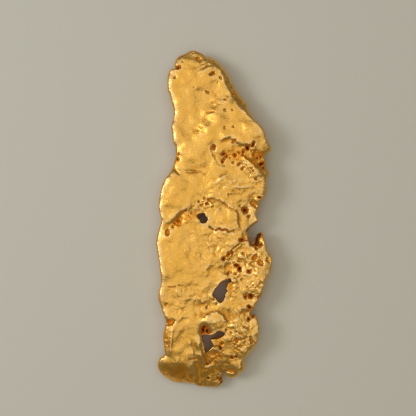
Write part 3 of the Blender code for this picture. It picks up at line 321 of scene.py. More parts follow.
# Spongy patches, where small hollows crowd together: x, y, half-width, half-height, turn in degrees, depth
SPONGE = (
    # the pitted hollow, the right side down to the horn, and above the small hole
    (3.6, 12.4, 4.4, 1.6, 4, 0.7), (8.2, 12.2, 2.0, 2.2, 0, 0.8), (8.6, 3.6, 1.6, 2.2, 0, 0.4),
    (-3.0, 2.4, 3.4, 0.9, 20, 0.6), (8.6, -4.4, 1.2, 2.2, -12, 0.8), (2.6, -7.6, 2.6, 1.6, 20, 0.5),
    # the lower right side, and round the lower hole
    (8.4, -9.2, 2.6, 3.0, 0, 0.6), (6.8, -16.4, 2.0, 3.6, 0, 0.5), (4.6, -23.4, 3.6, 4.0, 0, 0.7),
    (-0.4, -27.4, 2.6, 2.2, 25, 0.8), (1.0, -31.4, 1.6, 1.6, 0, 0.6), (-1.2, -21.8, 2.0, 1.2, 0, 0.6),
    # the middle
    (-2.0, -4.0, 6.0, 3.4, 0, 0.3), (-3.0, -16.0, 5.0, 3.0, 0, 0.3),
)
SPONGE_HOLES = ((1.2, 0.12), (0.6, 0.07), (0.3, 0.035))  # size of the lumps there, and how far they stand

# Rippled patches: x, y, half-width, half-height, the way the ripples run in degrees, and how far they stand
RIPPLES = (
    # below the middle, across the rippled swell, up the bank of the plateau, and on the tip
    (-5.0, -16.5, 6.0, 4.0, 4, 0.09), (1.0, 7.6, 4.0, 3.0, 38, 0.075), (6.8, 6.6, 4.0, 3.4, 8, 0.075),
    (-1.2, 21.0, 2.2, 3.6, 55, 0.035), (-2.2, 30.4, 3.6, 2.2, 24, 0.13),
    # round the waist, and down the plate beside the lower hole
    (-3.0, 10.5, 4.5, 2.0, -4, 0.03), (-6.5, -24.0, 2.4, 3.6, 68, 0.06),
)
RIPPLE_SIZE = (3.2, 0.8)  # along the ripples and across them

# Unevenness: size of the lumps in mm, and how far they stand
LUMPS = ((7.0, 0.20), (2.6, 0.04), (1.1, 0.027), (0.5, 0.011), (0.28, 0.006))
SMOOTH_SIDE = 0.34  # share of them left on the water-smoothed left side
# Where water wore the face smooth: x, y, half-width, half-height, turn in degrees, share of lumps gone
WORN = (
    (-8.0, -30.4, 4.4, 2.4, -10, 0.9), (-9.0, 5.0, 2.6, 8.0, 0, 0.4), (-8.6, -10.0, 2.6, 8.0, 0, 0.4),
    (-6.0, 22.0, 3.0, 8.0, 0, 0.65), (5.8, 18.8, 4.0, 3.0, 25, 0.5), (-0.8, 21.0, 3.0, 4.0, 0, 0.7),
    (-8.7, -24.4, 1.4, 3.6, 0, 0.7), (3.6, 7.4, 5.0, 2.6, 0, 0.5),
)
# Welded grains: x, y, half-width, half-height, turn in degrees, and how far they stand
GRAINS = (
    # the right side, down to the slot, and the foot
    (8.4, -13.4, 3.0, 2.6, 0, 0.18), (7.0, -7.4, 3.4, 2.8, 0, 0.18), (5.0, -22.6, 3.2, 4.6, 0, 0.17),
    (4.8, -11.6, 3.2, 3.0, 0, 0.16),
    (1.0, -30.6, 2.2, 2.0, 0, 0.14), (-0.4, -27.6, 2.0, 1.8, 25, 0.18), (2.9, -13.8, 0.9, 2.4, 12, 0.20),
    (4.4, -19.2, 2.2, 1.6, 0, 0.14),
    # the pitted hollow, the right edge over the notch, and the band over the small hole
    (5.4, 12.6, 5.6, 2.0, 4, 0.07), (8.0, 4.6, 2.0, 4.0, 0, 0.10), (-1.2, 3.0, 2.6, 1.6, 10, 0.22),
    (-5.2, 0.2, 2.6, 1.2, 24, 0.16),
    # faintly, over the whole of the rougher half
    (5.0, 6.0, 6.0, 6.0, 0, 0.07), (2.0, -6.0, 7.0, 6.0, 0, 0.10), (-4.0, -16.0, 7.0, 4.0, 0, 0.08),
)
GRAIN_SIZE = 1.15
GRAIN_LEAST = 0.01  # grains that stand less than this aren't worked out
GRAIN_BEND = (0.7, 0.28)  # size and reach of the noise that bends the joints between them
GRAIN_SHARE = 0.8   # how much of them shows on average,
GRAIN_SWING = 1.0   # how much that swings,
GRAIN_PATCH = 2.4   # and in what size of patch
GRAIN_FLAT = 0.7    # distance from a joint, in grain sizes, beyond which a top is flat
GRAIN_SUNK = 0.7    # how far the joints are sunk, as a share of how far the grains stand
# Size and reach of what moves the rim up and down, the sides in and out, and the spots of the plan about
RIM_LUMPS = ((7.0, 0.50), (2.5, 0.25))
SIDE_LUMPS = ((1.8, 0.14), (0.7, 0.025))
WANDER = ((2.2, 0.40), (0.8, 0.18), (0.35, 0.07))
PILLOW = (0.24, 0.32)  # how far the face rolls off at its edge, and over how wide a strip
FADE = (3.2, 0.65, 0.9)  # size, mean and swing of the noise by which ledges and folds fade
FADE_MOST = 1.2
CREASE_ROUNDS = 14  # how far round each point a crease is measured, in steps of the mesh
CREASE_DEPTH = 0.030  # a crease this deep is fully marked

# How the plan is cut, how each kind of relief ends or varies, and how far rust and stain reach
CURVE_PARTS = 24      # spots on each stretch of an outline before they are spaced evenly
FEWEST_SPOTS = 8      # on an outline, however short
ROW_HEIGHT = math.sqrt(0.75)  # of a triangular grid, in its steps
WHOLE_PLAN = 0        # the triangulation's output type that fills the whole hull
MERGED_WITHIN = 1e-9  # and the distance under which two of its spots count as one
RING_CLEAR = 0.93     # spots nearer the edge than this share of their ring's depth are dropped
GRID_CLEAR = 0.6      # and grid spots nearer a ring than this share of a step
GRID_JITTER = 0.18    # how far grid spots are moved, as a share of a step
STEP_END = 0.6        # how far past its ends a ledge runs on, on top of its softness
BEVEL_END = 0.8       # the same for a bevel
PIT_TURN = (2.4, 1.7)  # how a pit's place turns it, in radians a mm along X and Y
PIT_SQUASH = (0.25, 5.1, 3.3)  # how much a pit is squashed, and how its place varies that
SMOOTH_EDGE = (-2.0, 1.5)  # where the water-smoothed left side ends, and over how wide a strip
BROAD = 4.0           # lumps as wide as this aren't worn away
BACK_ROUGHNESS = 2.0  # the back's unevenness against the face's
BACK_PIT_DEPTH = 0.8  # depth of a pit on the back against its radius
RIM_CLEAR = 0.3       # the rim stays this far below the face and above the back
RUST_REACH = 0.80     # how far the rust in a socket reaches, in radii,
HALO_REACH = 1.4      # and the stain round it,
HALO_LEAST = 0.4      # which is this strong round a clean socket
BACK_STAIN = 0.3      # stain and rust on the back against what lies over it on the face

# Each kind of unevenness reads its own level of the noise
FACE_NOISE = 3.1
BACK_NOISE = 8.6
RIM_NOISE = 5.7
EDGE_NOISE = 81.4
WANDER_NOISE = (21.3, 47.9)
SPONGE_NOISE = 63.2
RIPPLE_NOISE = 90.6
FADE_NOISE = 35.7
GRAIN_NOISE = (12.9, 4.4, 27.5, 68.1)

# ---- the gold's colours and finish ----
CLEAN = ((0.93, 0.52, 0.12, 1.0), (0.90, 0.48, 0.09, 1.0))  # from patch to patch
# deeper, darker gold on steep slopes: painted shade
STEEP_SHADE = (0.84, 0.38, 0.06, 1.0)
# pale crests: partly purer worn gold, partly a painted highlight
PALE_CREST_AND_HIGHLIGHT = (0.96, 0.64, 0.27, 1.0)
# orange-brown in creases: partly an iron film, partly painted shade
CREASE_IRON_AND_SHADE = (0.76, 0.32, 0.035, 1.0)
STAIN = (1.0, 0.41, 0.04, 1.0)
RUST = ((0.14, 0.040, 0.012, 1.0), (0.05, 0.012, 0.010, 1.0))
RUST_SHEEN = (1.0, 0.75, 0.35, 1.0)
RUST_SPECULAR = 0.3
# Procedural noise, in lumps a mm
PATCHES = 0.22
MOTTLE = 1.3
SPECKS = 4.0
NOISE_DETAIL = 4.0
NOISE_ROUGHNESS = 0.6
NOISE_MEAN = 0.5
# What each effect is read from: where it starts and where it is full
PATCH_RANGE = (0.35, 0.65)
# the steepness over which the painted slope shade comes in
STEEP_SHADE_RANGE = (0.06, 0.40)
# the crease reading over which the pale crest tint with its painted highlight comes in
CREST_HIGHLIGHT_RANGE = (0.40, 0.05)
# the crease reading over which the creases' iron film and painted shade come in
CREASE_SHADE_RANGE = (0.60, 1.0)
FOLD_RANGE = (0.58, 0.95)
STAIN_RANGE = (0.35, 1.0)
RUST_RANGE = (0.28, 0.72)
FINISH_RANGE = (0.3, 0.7)
STAIN_BROKEN = 1.5    # how much noise breaks up the stain's edge,
RUST_BROKEN = 1.6     # and the rust's
CREST_HIGHLIGHT_CLEAR = 0.7     # the pale crest tint, partly worn gold and partly painted highlight, shows where there is less stain than this
# how far creases take on the orange-brown of iron film and painted shade
CREASE_SHADE_MOST = 0.85
STAIN_MOST = 0.85
STAIN_DULLS = 0.45    # how far stain takes the metal's shine away,
FOLD_DULLS = 0.6      # and how far a fold does
FINISH = (0.24, 0.34)  # roughness of clean gold, from speck to speck
STAIN_ROUGHENS = 0.3
RUST_ROUGHNESS = 0.7
BUMPS = ((2.5, 0.5), (6.0, 0.3))  # lumps a mm, and their share in the bump
BUMP_HEIGHT = 0.09
# Blender's Mix node by kind: the sockets of its share and its two values, and that of its result
MIX_SOCKETS = {"RGBA": ((0, 6, 7), 2), "FLOAT": ((0, 2, 3), 0)}

# ---- floor, light and camera, metres ----
FLOOR_REACH = 0.6
FLOOR_COLOUR = (0.80, 0.79, 0.77, 1.0)
FLOOR_ROUGHNESS = 0.8
# Softboxes: place, side, watts
SOFTBOXES = (
    ((-0.03, 0.045, 0.42), 0.50, 0.55),
    ((-0.28, 0.05, 0.30), 0.15, 0.35),
)
SKY = (0.20, 0.175, 0.09, 1.0)
# The camera looks straight down on the face. Its lens and sensor are in millimetres
CENTRE = Vector((-1.4, 2.2, 4.0)) * MM
FRAME_WIDTH = 83.2 * MM
LENS = 100.0
SENSOR = 36.0
NEAREST_SEEN = 0.01


def smooth_loop(points, step):
    """Points about a step apart on a closed Catmull-Rom curve through the given points."""
    here = np.array(points, float)
    before = np.roll(here, 1, axis=0)
    after = np.roll(here, -1, axis=0)
    beyond = np.roll(here, -2, axis=0)
    part = np.linspace(0.0, 1.0, CURVE_PARTS, endpoint=False)[:, None, None]
    bend = 2 * before - 5 * here + 4 * after - beyond
    twist = 3 * here - before - 3 * after + beyond
    curve = here + 0.5 * part * ((after - before) + part * (bend + part * twist))
    curve = curve.transpose(1, 0, 2).reshape(-1, 2)
    curve = np.vstack([curve, curve[:1]])
    along = np.concatenate([[0.0], np.cumsum(np.linalg.norm(np.diff(curve, axis=0), axis=1))])
    at = np.linspace(0.0, along[-1], max(FEWEST_SPOTS, round(along[-1] / step)), endpoint=False)
    return np.column_stack([np.interp(at, along, curve[:, 0]), np.interp(at, along, curve[:, 1])])


def inside(spots, loops):
    """Which spots are in the outline and not in a hole, by counting the edges to the right of each."""
    crossings = np.zeros(len(spots), int)
    order = np.argsort(spots[:, 1])
    rows = spots[order, 1]
    for loop in loops:
        for (x0, y0), (x1, y1) in zip(loop, np.roll(loop, -1, axis=0)):
            if y0 == y1:
                continue
            first, last = np.searchsorted(rows, (min(y0, y1), max(y0, y1)))
            band = order[first:last]
            cut = x0 + (spots[band, 1] - y0) * (x1 - x0) / (y1 - y0)
            crossings[band] += spots[band, 0] < cut
    return crossings % 2 == 1


def tree_of(spots):
    """A search tree over spots of the plan."""
    tree = kdtree.KDTree(len(spots))
    for index, (x, y) in enumerate(spots):
        tree.insert((x, y, 0.0), index)
    tree.balance()
    return tree


def distance_to(tree, spots):
    """Each spot's distance from the nearest spot in the tree."""
    return np.array([tree.find((x, y, 0.0))[2] for x, y in spots])


def plan_spots(loops):
    """The rim's points, rings of points a little way in from it, and a jittered grid over the rest."""
    fine = np.vstack([smooth_loop(points, TRACE_STEP) for points in (OUTLINE,) + HOLES])
    rim_tree = tree_of(fine)
    kept = [np.vstack(loops)]
    for loop_index, loop in enumerate(loops):
        radius = RIM_RADIUS if loop_index == 0 else HOLE_RADIUS
        run = np.roll(loop, -1, axis=0) - np.roll(loop, 1, axis=0)
        run /= np.linalg.norm(run, axis=1)[:, None]
        across = np.column_stack([run[:, 1], -run[:, 0]])
        for turn in RIM_TURNS:
            depth = radius * (1 - math.cos(math.radians(turn)))
            for side in (1, -1):
                ring = loop + side * depth * across
                ring = ring[inside(ring, loops)]
                kept.append(ring[distance_to(rim_tree, ring) > RING_CLEAR * depth])
    rng = np.random.default_rng(SEED)
    low = loops[0].min(axis=0)
    high = loops[0].max(axis=0)
    rows = np.arange(low[1], high[1], GRID_STEP * ROW_HEIGHT)
    columns = np.arange(low[0], high[0], GRID_STEP)
    grid = np.array([(x + (row % 2) * GRID_STEP / 2, y) for row, y in enumerate(rows) for x in columns])
    grid += rng.uniform(-GRID_JITTER, GRID_JITTER, grid.shape) * GRID_STEP
    grid = grid[inside(grid, loops)]
    taken = tree_of(np.vstack(kept))
    kept.append(grid[distance_to(taken, grid) > GRID_CLEAR * GRID_STEP])
    return np.vstack(kept)


def triangulate(loops):
    """Triangles over the plan: spots, triangles, and how many of the spots, at the front, are the rim's."""
    spots = plan_spots(loops)
    rim_edges = []
    start = 0
    for loop in loops:
        count = len(loop)
        rim_edges += [(start + k, start + (k + 1) % count) for k in range(count)]
        start += count
    rim = set(rim_edges) | {(b, a) for a, b in rim_edges}
    while True:
        found = geometry.delaunay_2d_cdt([Vector(spot) for spot in spots], rim_edges, [],
                                         WHOLE_PLAN, MERGED_WITHIN)
        given = np.array([ids[0] for ids in found[3]])
        triangles = given[np.array(found[2])]
        triangles = triangles[inside(spots[triangles].mean(axis=1), loops)]
        at_rim = triangles < start
        both = at_rim & np.roll(at_rim, 1, axis=1)
        pairs = {(int(t[k]), int(t[k - 1]))
                 for t, b in zip(triangles, both) if b.any() for k in range(3) if b[k]}
        across = sorted({tuple(sorted(pair)) for pair in pairs if pair not in rim})
        if not across:
            return spots, triangles, start
        spots = np.vstack([spots, [(spots[a] + spots[b]) / 2 for a, b in across]])


def turned(x, y, radians):
    """The same spots, measured along axes turned by an angle."""
    c = math.cos(radians)
    s = math.sin(radians)
    return x * c + y * s, y * c - x * s


def bump(x, y, spot_x, spot_y, half_width, half_height, turn, rise):
    """A rounded swell or hollow."""
    u, v = turned(x - spot_x, y - spot_y, math.radians(turn))
    return rise * np.exp(-((u / half_width) ** 2 + (v / half_height) ** 2))


def strongest(x, y, patches):
    """The strongest of the patches at each spot, or 0."""
    most = np.zeros(x.shape)
    for patch in patches:
        most = np.maximum(most, bump(x, y, *patch))
    return most


def from_line(x, y, line):
    """Distance from a line, its left positive, and how far past the line's ends each spot lies.

    Past either end the distance is from the line run straight on, so that nothing jumps there.
    """
    nearest = np.full(x.shape, np.inf)
    side = np.zeros(x.shape)
    past = np.zeros(x.shape)
    last = len(line) - 2
    for index, ((x0, y0), (x1, y1)) in enumerate(zip(line[:-1], line[1:])):
        run_x = x1 - x0
        run_y = y1 - y0
        length = math.hypot(run_x, run_y)
        along = ((x - x0) * run_x + (y - y0) * run_y) / length
        held = np.clip(along, 0.0, length)
        away = np.hypot(x - x0 - held * run_x / length, y - y0 - held * run_y / length)
        across = (run_x * (y - y0) - run_y * (x - x0)) / length
        over = np.zeros(x.shape)
        if index == 0:
            over = np.maximum(over, -along)
        if index == last:
            over = np.maximum(over, along - length)
        closer = away < nearest
        nearest = np.where(closer, away, nearest)
        side = np.where(closer, np.where(over > 0.0, across, np.sign(across) * away), side)
        past = np.where(closer, over, past)
    return side, past


def step(x, y, height, softness, reach, line):
    """A ledge: raised on the left of its line and lowered on the right, both dying away."""
    away, past = from_line(x, y, line)
    end = softness + STEP_END
    shape = np.tanh(away / softness) * np.exp(-np.abs(away) / reach)
    return 0.5 * height * shape * np.exp(-(past / end) ** 2)


def bevel(x, y, slope, most, soft, line):
    """A side that falls away to the right of its line, gently at first."""
    away, past = from_line(x, y, line)
    beyond = np.maximum(-away, 0.0)
    fall = np.minimum(slope * beyond ** 2 / (beyond + soft), most)
    return -fall * np.exp(-(past / BEVEL_END) ** 2)


def furrow(x, y, depth, half_width, line):
    """A rounded groove along a line, or a rounded fold where its depth is below zero."""
    away, past = from_line(x, y, line)
    return -depth * np.exp(-(away / half_width) ** 2) * np.exp(-(past / half_width) ** 2)


def pit(x, y, spot_x, spot_y, radius, depth):
    """A steep socket, squashed one way or another by its place."""
    most, by_x, by_y = PIT_SQUASH
    squash = 1.0 + most * math.sin(by_x * spot_x - by_y * spot_y)
    u, v = turned(x - spot_x, y - spot_y, PIT_TURN[0] * spot_x + PIT_TURN[1] * spot_y)
    out = np.hypot(u * squash, v / squash) / radius
    return -depth * np.exp(-out ** 3)


def waves(x, y, size, level):
    """Smooth noise from about -1 to 1, in lumps of the given size."""
    return np.array([noise.noise((a, b, level)) for a, b in zip((x / size).tolist(), (y / size).tolist())])


def unworn(x, y):
    """The share of the unevenness left in the worn places."""
    left = np.ones(x.shape)
    for place in WORN:
        left *= 1.0 - bump(x, y, *place)
    return left


def lumps(x, y, level, table):
    """Unevenness, weaker on the left and in the worn places, which water has smoothed."""
    middle, strip = SMOOTH_EDGE
    rough = unworn(x, y) * (SMOOTH_SIDE + (1 - SMOOTH_SIDE) / (1 + np.exp((middle - x) / strip)))
    total = np.zeros(x.shape)
    for size, stand in table:
        total += stand * waves(x, y, size, level) * (rough if size < BROAD else 1.0)
    return total


def wander(x, y):
    """The same spots moved a little by smooth noise, so that what is drawn there isn't straight or round."""
    moved_x = x.copy()
    moved_y = y.copy()
    for size, reach in WANDER:
        moved_x += reach * waves(x, y, size, WANDER_NOISE[0]) * unworn(x, y)
        moved_y += reach * waves(x, y, size, WANDER_NOISE[1]) * unworn(x, y)
    return moved_x, moved_y


def sponge(x, y):
    """Crowded small lumps and hollows in the spongy patches."""
    total = np.zeros(x.shape)
    for size, stand in SPONGE_HOLES:
        total += stand * waves(x, y, size, SPONGE_NOISE)
    return strongest(x, y, SPONGE) * total


def grains(x, y):
    """Rounded grains that have welded together."""
    stand = strongest(x, y, GRAINS)
    stand *= np.clip(GRAIN_SHARE + GRAIN_SWING * waves(x, y, GRAIN_PATCH, GRAIN_NOISE[0]), 0.0, 1.0)
    size, reach = GRAIN_BEND
    across = (x + reach * waves(x, y, size, GRAIN_NOISE[2])) / GRAIN_SIZE
    along = (y + reach * waves(x, y, size, GRAIN_NOISE[3])) / GRAIN_SIZE
    dome = np.zeros(x.shape)
    for index in np.flatnonzero(stand > GRAIN_LEAST):
        near = noise.voronoi((across[index], along[index], GRAIN_NOISE[1]))[0]
        dome[index] = math.sqrt(min(1.0, (near[1] - near[0]) / GRAIN_FLAT)) - GRAIN_SUNK
    return stand * dome


def ripples(x, y):
    """Drawn-out lumps in the rippled patches."""
    along, across = RIPPLE_SIZE
    total = np.zeros(x.shape)
    for spot_x, spot_y, half_width, half_height, turn, stand in RIPPLES:
        u, v = turned(x, y, math.radians(turn))
        patch = bump(x, y, spot_x, spot_y, half_width, half_height, 0, stand)
        total += patch * waves(u * across / along, v, across, RIPPLE_NOISE)
    return total


def fading(x, y):
    """How strongly ledges and folds show at each spot."""
    size, mean, swing = FADE
    return np.clip(mean + swing * waves(x, y, size, FADE_NOISE), 0.0, FADE_MOST)


def face_height(x, y):
    """The face's height over each spot of the plan."""
    z = FACE_LEVEL + lumps(x, y, FACE_NOISE, LUMPS)
    fade = fading(x, y)
    x, y = wander(x, y)
    for swell in FACE_SWELLS:
        z += bump(x, y, *swell)
    for bank in FACE_BANKS:
        z += step(x, y, *bank)
    for ledge in FACE_STEPS:
        z += fade * step(x, y, *ledge)
    for side in FACE_BEVELS:
        z += bevel(x, y, *side)
    for depth, half_width, _, line in FACE_FURROWS:
        z += fade * furrow(x, y, depth, half_width, line)
    for socket in FACE_PITS:
        z += pit(x, y, *socket[:4])
    return z + sponge(x, y) + ripples(x, y) + grains(x, y)


def back_height(x, y):
    """The back's height, below zero where the ground will have worn it flat."""
    z = BACK_LEVEL - BACK_ROUGHNESS * lumps(x, y, BACK_NOISE, LUMPS)
    x, y = wander(x, y)
    for swell in BACK_SWELLS:
        z += bump(x, y, *swell)
    rng = np.random.default_rng(SEED)
    low = np.array(OUTLINE).min(axis=0)
    high = np.array(OUTLINE).max(axis=0)
    for spot in rng.uniform(low, high, (BACK_PITS, 2)):
        radius = rng.uniform(*BACK_PIT_RADIUS)
        z -= pit(x, y, spot[0], spot[1], radius, BACK_PIT_DEPTH * radius)
    return z


def rim_share(outline_distance, hole_distance, outline_radius, hole_radius):
    """How much of its full height a surface has, from 0 at the rim to 1 beyond the rim's curve."""
    out = np.clip(outline_distance / outline_radius, 0.0, 1.0)
    hole = np.clip(hole_distance / hole_radius, 0.0, 1.0)
    return np.sqrt(1 - (1 - out) ** 2) * np.sqrt(1 - (1 - hole) ** 2)


def nugget_points(spots):
    """The face's and the back's points over the plan's spots."""
    x = spots[:, 0]
    y = spots[:, 1]
    rim = RIM_LEVEL + lumps(x, y, RIM_NOISE, RIM_LUMPS)
    face = face_height(x, y)
    back = np.minimum(back_height(x, y), face - THINNEST)
    rim = np.clip(rim, back + RIM_CLEAR, face - RIM_CLEAR)
    outline_tree = tree_of(smooth_loop(OUTLINE, TRACE_STEP))
    hole_tree = tree_of(np.vstack([smooth_loop(hole, TRACE_STEP) for hole in HOLES]))
    from_edge = distance_to(outline_tree, spots)
    from_hole = distance_to(hole_tree, spots)
    size, swing = RIM_VARIES
    varied = 1.0 + swing * waves(x, y, size, EDGE_NOISE)
    roll, strip = PILLOW
    face -= roll * np.exp(-from_edge / strip)
    face_share = rim_share(from_edge, from_hole, RIM_RADIUS * varied, HOLE_RADIUS * varied)
    back_share = rim_share(from_edge, from_hole, HULL_RADIUS * varied, HULL_HOLE_RADIUS * varied)
    return (np.column_stack([x, y, rim + (face - rim) * face_share]),
            np.column_stack([x, y, rim + (back - rim) * back_share]))


def stain_of(x, y):
    """Orange stain and dark grain at spots on the face, each from 0 to 1."""
    fade = fading(x, y)
    x, y = wander(x, y)
    stain = strongest(x, y, STAINS)
    grain = np.zeros(x.shape)
    for _, half_width, dark, line in FACE_FURROWS:
        grain = np.maximum(grain, -dark * fade * furrow(x, y, 1.0, half_width, line))
    for spot_x, spot_y, radius, _, dark in FACE_PITS:
        out = np.hypot(x - spot_x, y - spot_y) / radius
        grain = np.maximum(grain, dark * np.exp(-(out / RUST_REACH) ** 3))
        stain = np.maximum(stain, min(1.0, HALO_LEAST + dark) * np.exp(-(out / HALO_REACH) ** 2))
    return stain, grain


def keep_layer(mesh, name, values):
    """Store one value a point, for the material to read."""
    layer = mesh.attributes.new(name, "FLOAT", "POINT")
    layer.data.foreach_set("value", values.astype(np.float32))


def points_and_normals(mesh):
    points = np.empty(len(mesh.vertices) * 3, np.float32)
    normals = np.empty(len(mesh.vertices) * 3, np.float32)
    mesh.vertices.foreach_get("co", points)
    mesh.vertex_normals.foreach_get("vector", normals)
    return points.reshape(-1, 3).astype(float), normals.reshape(-1, 3)


def cut_mesh():
    """One closed mesh: the face and the back share the rim's points."""
    loops = [smooth_loop(points, RIM_STEP) for points in (OUTLINE,) + HOLES]
    spots, triangles, rim_count = triangulate(loops)
    face, back = nugget_points(spots)
    face[:rim_count, 2] = (face[:rim_count, 2] + back[:rim_count, 2]) / 2
    points = np.vstack([face, back[rim_count:]])
    below = np.where(triangles < rim_count, triangles, triangles + len(spots) - rim_count)
    corners = spots[triangles]
    edge_a = corners[:, 1] - corners[:, 0]
    edge_b = corners[:, 2] - corners[:, 0]
    upward = (edge_a[:, 0] * edge_b[:, 1] - edge_a[:, 1] * edge_b[:, 0]) > 0
    above = np.where(upward[:, None], triangles, triangles[:, ::-1])
    below = np.where(upward[:, None], below[:, ::-1], below)
    mesh = bpy.data.meshes.new("fine nugget")
    mesh.from_pydata(points.tolist(), [], np.vstack([above, below]).tolist())
    mesh.update()
    stain, grain = stain_of(spots[:, 0], spots[:, 1])
    for name, values in (("stain", stain), ("grain", grain)):
        keep_layer(mesh, name, np.concatenate([values, BACK_STAIN * values[rim_count:]]))
    return mesh


def mark_creases(mesh):
    """Mark where each point lies, from crest (0) to crease (1), and how steep it is, from 0 to 1."""
    count = len(mesh.vertices)
    points, normals = points_and_normals(mesh)
    edges = np.empty(len(mesh.edges) * 2, np.int32)
    mesh.edges.foreach_get("vertices", edges)
    one = np.concatenate([edges[0::2], edges[1::2]])
    other = np.concatenate([edges[1::2], edges[0::2]])
    near = np.bincount(one, minlength=count)
    smooth = points.copy()
    for _ in range(CREASE_ROUNDS):
        for axis in range(3):
            smooth[:, axis] = np.bincount(one, weights=smooth[other, axis], minlength=count) / near
    sunk = ((smooth - points) * normals).sum(axis=1) / CREASE_DEPTH
    keep_layer(mesh, "crease", np.clip(0.5 + 0.5 * sunk, 0.0, 1.0))
    keep_layer(mesh, "steep", np.degrees(np.arccos(np.clip(np.abs(normals[:, 2]), 0.0, 1.0))) / 90.0)


def knock_about(mesh):
    """Push each point in or out by smooth noise, wear the back flat, and fit the mesh to the solid's size."""
    points, normals = points_and_normals(mesh)
    push = np.zeros(len(points))
    for size, stand in SIDE_LUMPS:
        push += stand * np.array([noise.noise(spot) for spot in (points / size).tolist()])
    points += normals * push[:, None]
    points[:, 2] = np.maximum(points[:, 2], 0.0)
    points[:, :2] *= LENGTH / MM / np.ptp(points[:, 1])
    points[:, 2] *= THICKNESS / MM / points[:, 2].max()
    mesh.vertices.foreach_set("co", (points * MM).ravel())
    mesh.update()


def fine_nugget():
    """The nugget's piece, with no more than MOST_TRIANGLES triangles."""
    mesh = cut_mesh()
    mark_creases(mesh)
    knock_about(mesh)
    nugget = bpy.data.objects.new("nugget_skin", mesh)
    bpy.context.scene.collection.objects.link(nugget)
    if len(mesh.polygons) > MOST_TRIANGLES:
        fewer = nugget.modifiers.new("fewer faces", "DECIMATE")
        fewer.ratio = MOST_TRIANGLES / len(mesh.polygons)
        graph = bpy.context.evaluated_depsgraph_get()
        nugget.data = bpy.data.meshes.new_from_object(nugget.evaluated_get(graph))
        nugget.modifiers.remove(fewer)
    nugget.data.shade_smooth()
    return nugget


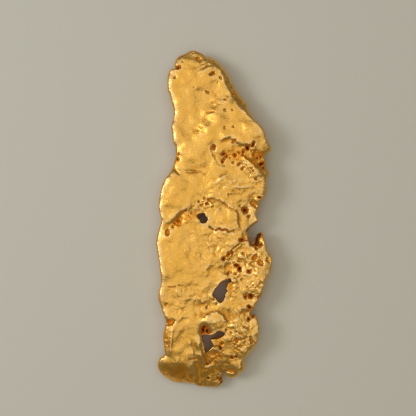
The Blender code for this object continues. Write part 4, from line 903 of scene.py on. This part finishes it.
def gold_material():
    """Clean gold with painted shade on steep slopes, a pale crest tint that is partly worn gold and partly
    painted highlight, creases darkened partly by iron and partly by painted shade, and stain and rust in its
    folds and sockets.
    """
    material = bpy.data.materials.new("waterworn gold")
    material.use_nodes = True
    nodes = material.node_tree.nodes
    links = material.node_tree.links
    surface = nodes["Principled BSDF"]

    def node(kind, **settings):
        made = nodes.new(kind)
        for name, value in settings.items():
            setattr(made, name, value)
        return made

    def feed(value, socket):
        if isinstance(value, bpy.types.NodeSocket):
            links.new(value, socket)
        else:
            socket.default_value = value

    def maths(operation, a, b, clamp=False):
        made = node("ShaderNodeMath", operation=operation, use_clamp=clamp)
        feed(a, made.inputs[0])
        feed(b, made.inputs[1])
        return made.outputs[0]

    def mixed(share, a, b, kind="RGBA"):
        made = node("ShaderNodeMix", data_type=kind)
        sockets, result = MIX_SOCKETS[kind]
        for value, socket in zip((share, a, b), sockets):
            feed(value, made.inputs[socket])
        return made.outputs[result]

    def ramp(value, low, high):
        made = node("ShaderNodeMapRange", interpolation_type="SMOOTHSTEP")
        feed(value, made.inputs["Value"])
        made.inputs["From Min"].default_value = low
        made.inputs["From Max"].default_value = high
        return made.outputs["Result"]

    def layer(name):
        return node("ShaderNodeAttribute", attribute_name=name).outputs["Fac"]

    place = node("ShaderNodeTexCoord").outputs["Object"]

    def speckle(per_mm):
        made = node("ShaderNodeTexNoise")
        links.new(place, made.inputs["Vector"])
        made.inputs["Scale"].default_value = per_mm / MM
        made.inputs["Detail"].default_value = NOISE_DETAIL
        made.inputs["Roughness"].default_value = NOISE_ROUGHNESS
        return made.outputs["Fac"]

    def broken(values, by, swing, edge):
        """A layer with its edge broken up by noise."""
        return ramp(maths("ADD", values, maths("MULTIPLY", maths("SUBTRACT", by, NOISE_MEAN), swing)), *edge)

    stain_layer = layer("stain")
    crease = layer("crease")
    mottle = speckle(MOTTLE)
    specks = speckle(SPECKS)
    stain = broken(stain_layer, mottle, STAIN_BROKEN, STAIN_RANGE)
    grain = broken(layer("grain"), specks, RUST_BROKEN, RUST_RANGE)

    gold = mixed(ramp(speckle(PATCHES), *PATCH_RANGE), *CLEAN)
    # painted shade: deeper, darker colour on steep slopes
    gold = mixed(ramp(layer("steep"), *STEEP_SHADE_RANGE), gold, STEEP_SHADE)
    # pale tint on crests, partly worn gold and partly painted highlight, kept off stained places
    unstained = maths("SUBTRACT", CREST_HIGHLIGHT_CLEAR, stain_layer, clamp=True)
    gold = mixed(maths("MULTIPLY", ramp(crease, *CREST_HIGHLIGHT_RANGE), unstained), gold, PALE_CREST_AND_HIGHLIGHT)
    # creases darkened to orange-brown: partly iron film, partly painted shade
    gold = mixed(maths("MULTIPLY", ramp(crease, *CREASE_SHADE_RANGE), CREASE_SHADE_MOST), gold, CREASE_IRON_AND_SHADE)
    gold = mixed(maths("MULTIPLY", stain, STAIN_MOST), gold, STAIN)
    rust = mixed(ramp(mottle, *PATCH_RANGE), *RUST)
    links.new(mixed(grain, gold, rust), surface.inputs["Base Color"])

    folded = maths("MULTIPLY", ramp(crease, *FOLD_RANGE), FOLD_DULLS)
    dull = maths("MAXIMUM", maths("MULTIPLY", stain, STAIN_DULLS), folded)
    links.new(mixed(maths("MAXIMUM", grain, dull), 1.0, 0.0, "FLOAT"), surface.inputs["Metallic"])
    surface.inputs["Specular Tint"].default_value = RUST_SHEEN
    surface.inputs["Specular IOR Level"].default_value = RUST_SPECULAR
    clean = mixed(ramp(specks, *FINISH_RANGE), *FINISH, "FLOAT")
    rough = maths("MAXIMUM", maths("MULTIPLY", stain, STAIN_ROUGHENS), grain)
    links.new(mixed(rough, clean, RUST_ROUGHNESS, "FLOAT"), surface.inputs["Roughness"])

    relief = node("ShaderNodeBump")
    relief.inputs["Strength"].default_value = 1.0
    relief.inputs["Distance"].default_value = BUMP_HEIGHT * MM
    coarse, fine = (maths("MULTIPLY", speckle(per_mm), share) for per_mm, share in BUMPS)
    links.new(maths("ADD", coarse, fine), relief.inputs["Height"])
    links.new(relief.outputs["Normal"], surface.inputs["Normal"])
    return material


def floor():
    """A pale floor at z = 0, which is stage and not part of the nugget."""
    corners = [(x * FLOOR_REACH, y * FLOOR_REACH, 0.0) for x, y in ((-1, -1), (1, -1), (1, 1), (-1, 1))]
    mesh = bpy.data.meshes.new("floor")
    mesh.from_pydata(corners, [], [(0, 1, 2, 3)])
    material = bpy.data.materials.new("pale floor")
    material.use_nodes = True
    surface = material.node_tree.nodes["Principled BSDF"]
    surface.inputs["Base Color"].default_value = FLOOR_COLOUR
    surface.inputs["Roughness"].default_value = FLOOR_ROUGHNESS
    mesh.materials.append(material)
    plane = bpy.data.objects.new("floor", mesh)
    bpy.context.scene.collection.objects.link(plane)


def studio():
    """Soft light from above and from the left, a dim sky, and the camera."""
    scene = bpy.context.scene
    for place, side, watts in SOFTBOXES:
        lamp = bpy.data.lights.new("softbox", "AREA")
        lamp.size = side
        lamp.energy = watts
        stand = bpy.data.objects.new("softbox", lamp)
        stand.location = place
        stand.rotation_euler = (CENTRE - Vector(place)).to_track_quat("-Z", "Y").to_euler()
        scene.collection.objects.link(stand)
    world = bpy.data.worlds.new("studio")
    world.use_nodes = True
    world.node_tree.nodes["Background"].inputs["Color"].default_value = SKY
    scene.world = world
    lens = bpy.data.cameras.new("camera")
    lens.lens = LENS
    lens.sensor_width = SENSOR
    lens.clip_start = NEAREST_SEEN
    camera = bpy.data.objects.new("camera", lens)
    camera.location = CENTRE + Vector((0.0, 0.0, FRAME_WIDTH * LENS / SENSOR))
    scene.collection.objects.link(camera)
    scene.camera = camera
    scene.view_settings.view_transform = "Standard"


def main():
    nugget = fine_nugget()
    nugget.data.materials.append(gold_material())
    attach(nugget, "root")
    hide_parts(NODE)
    floor()
    studio()


main()
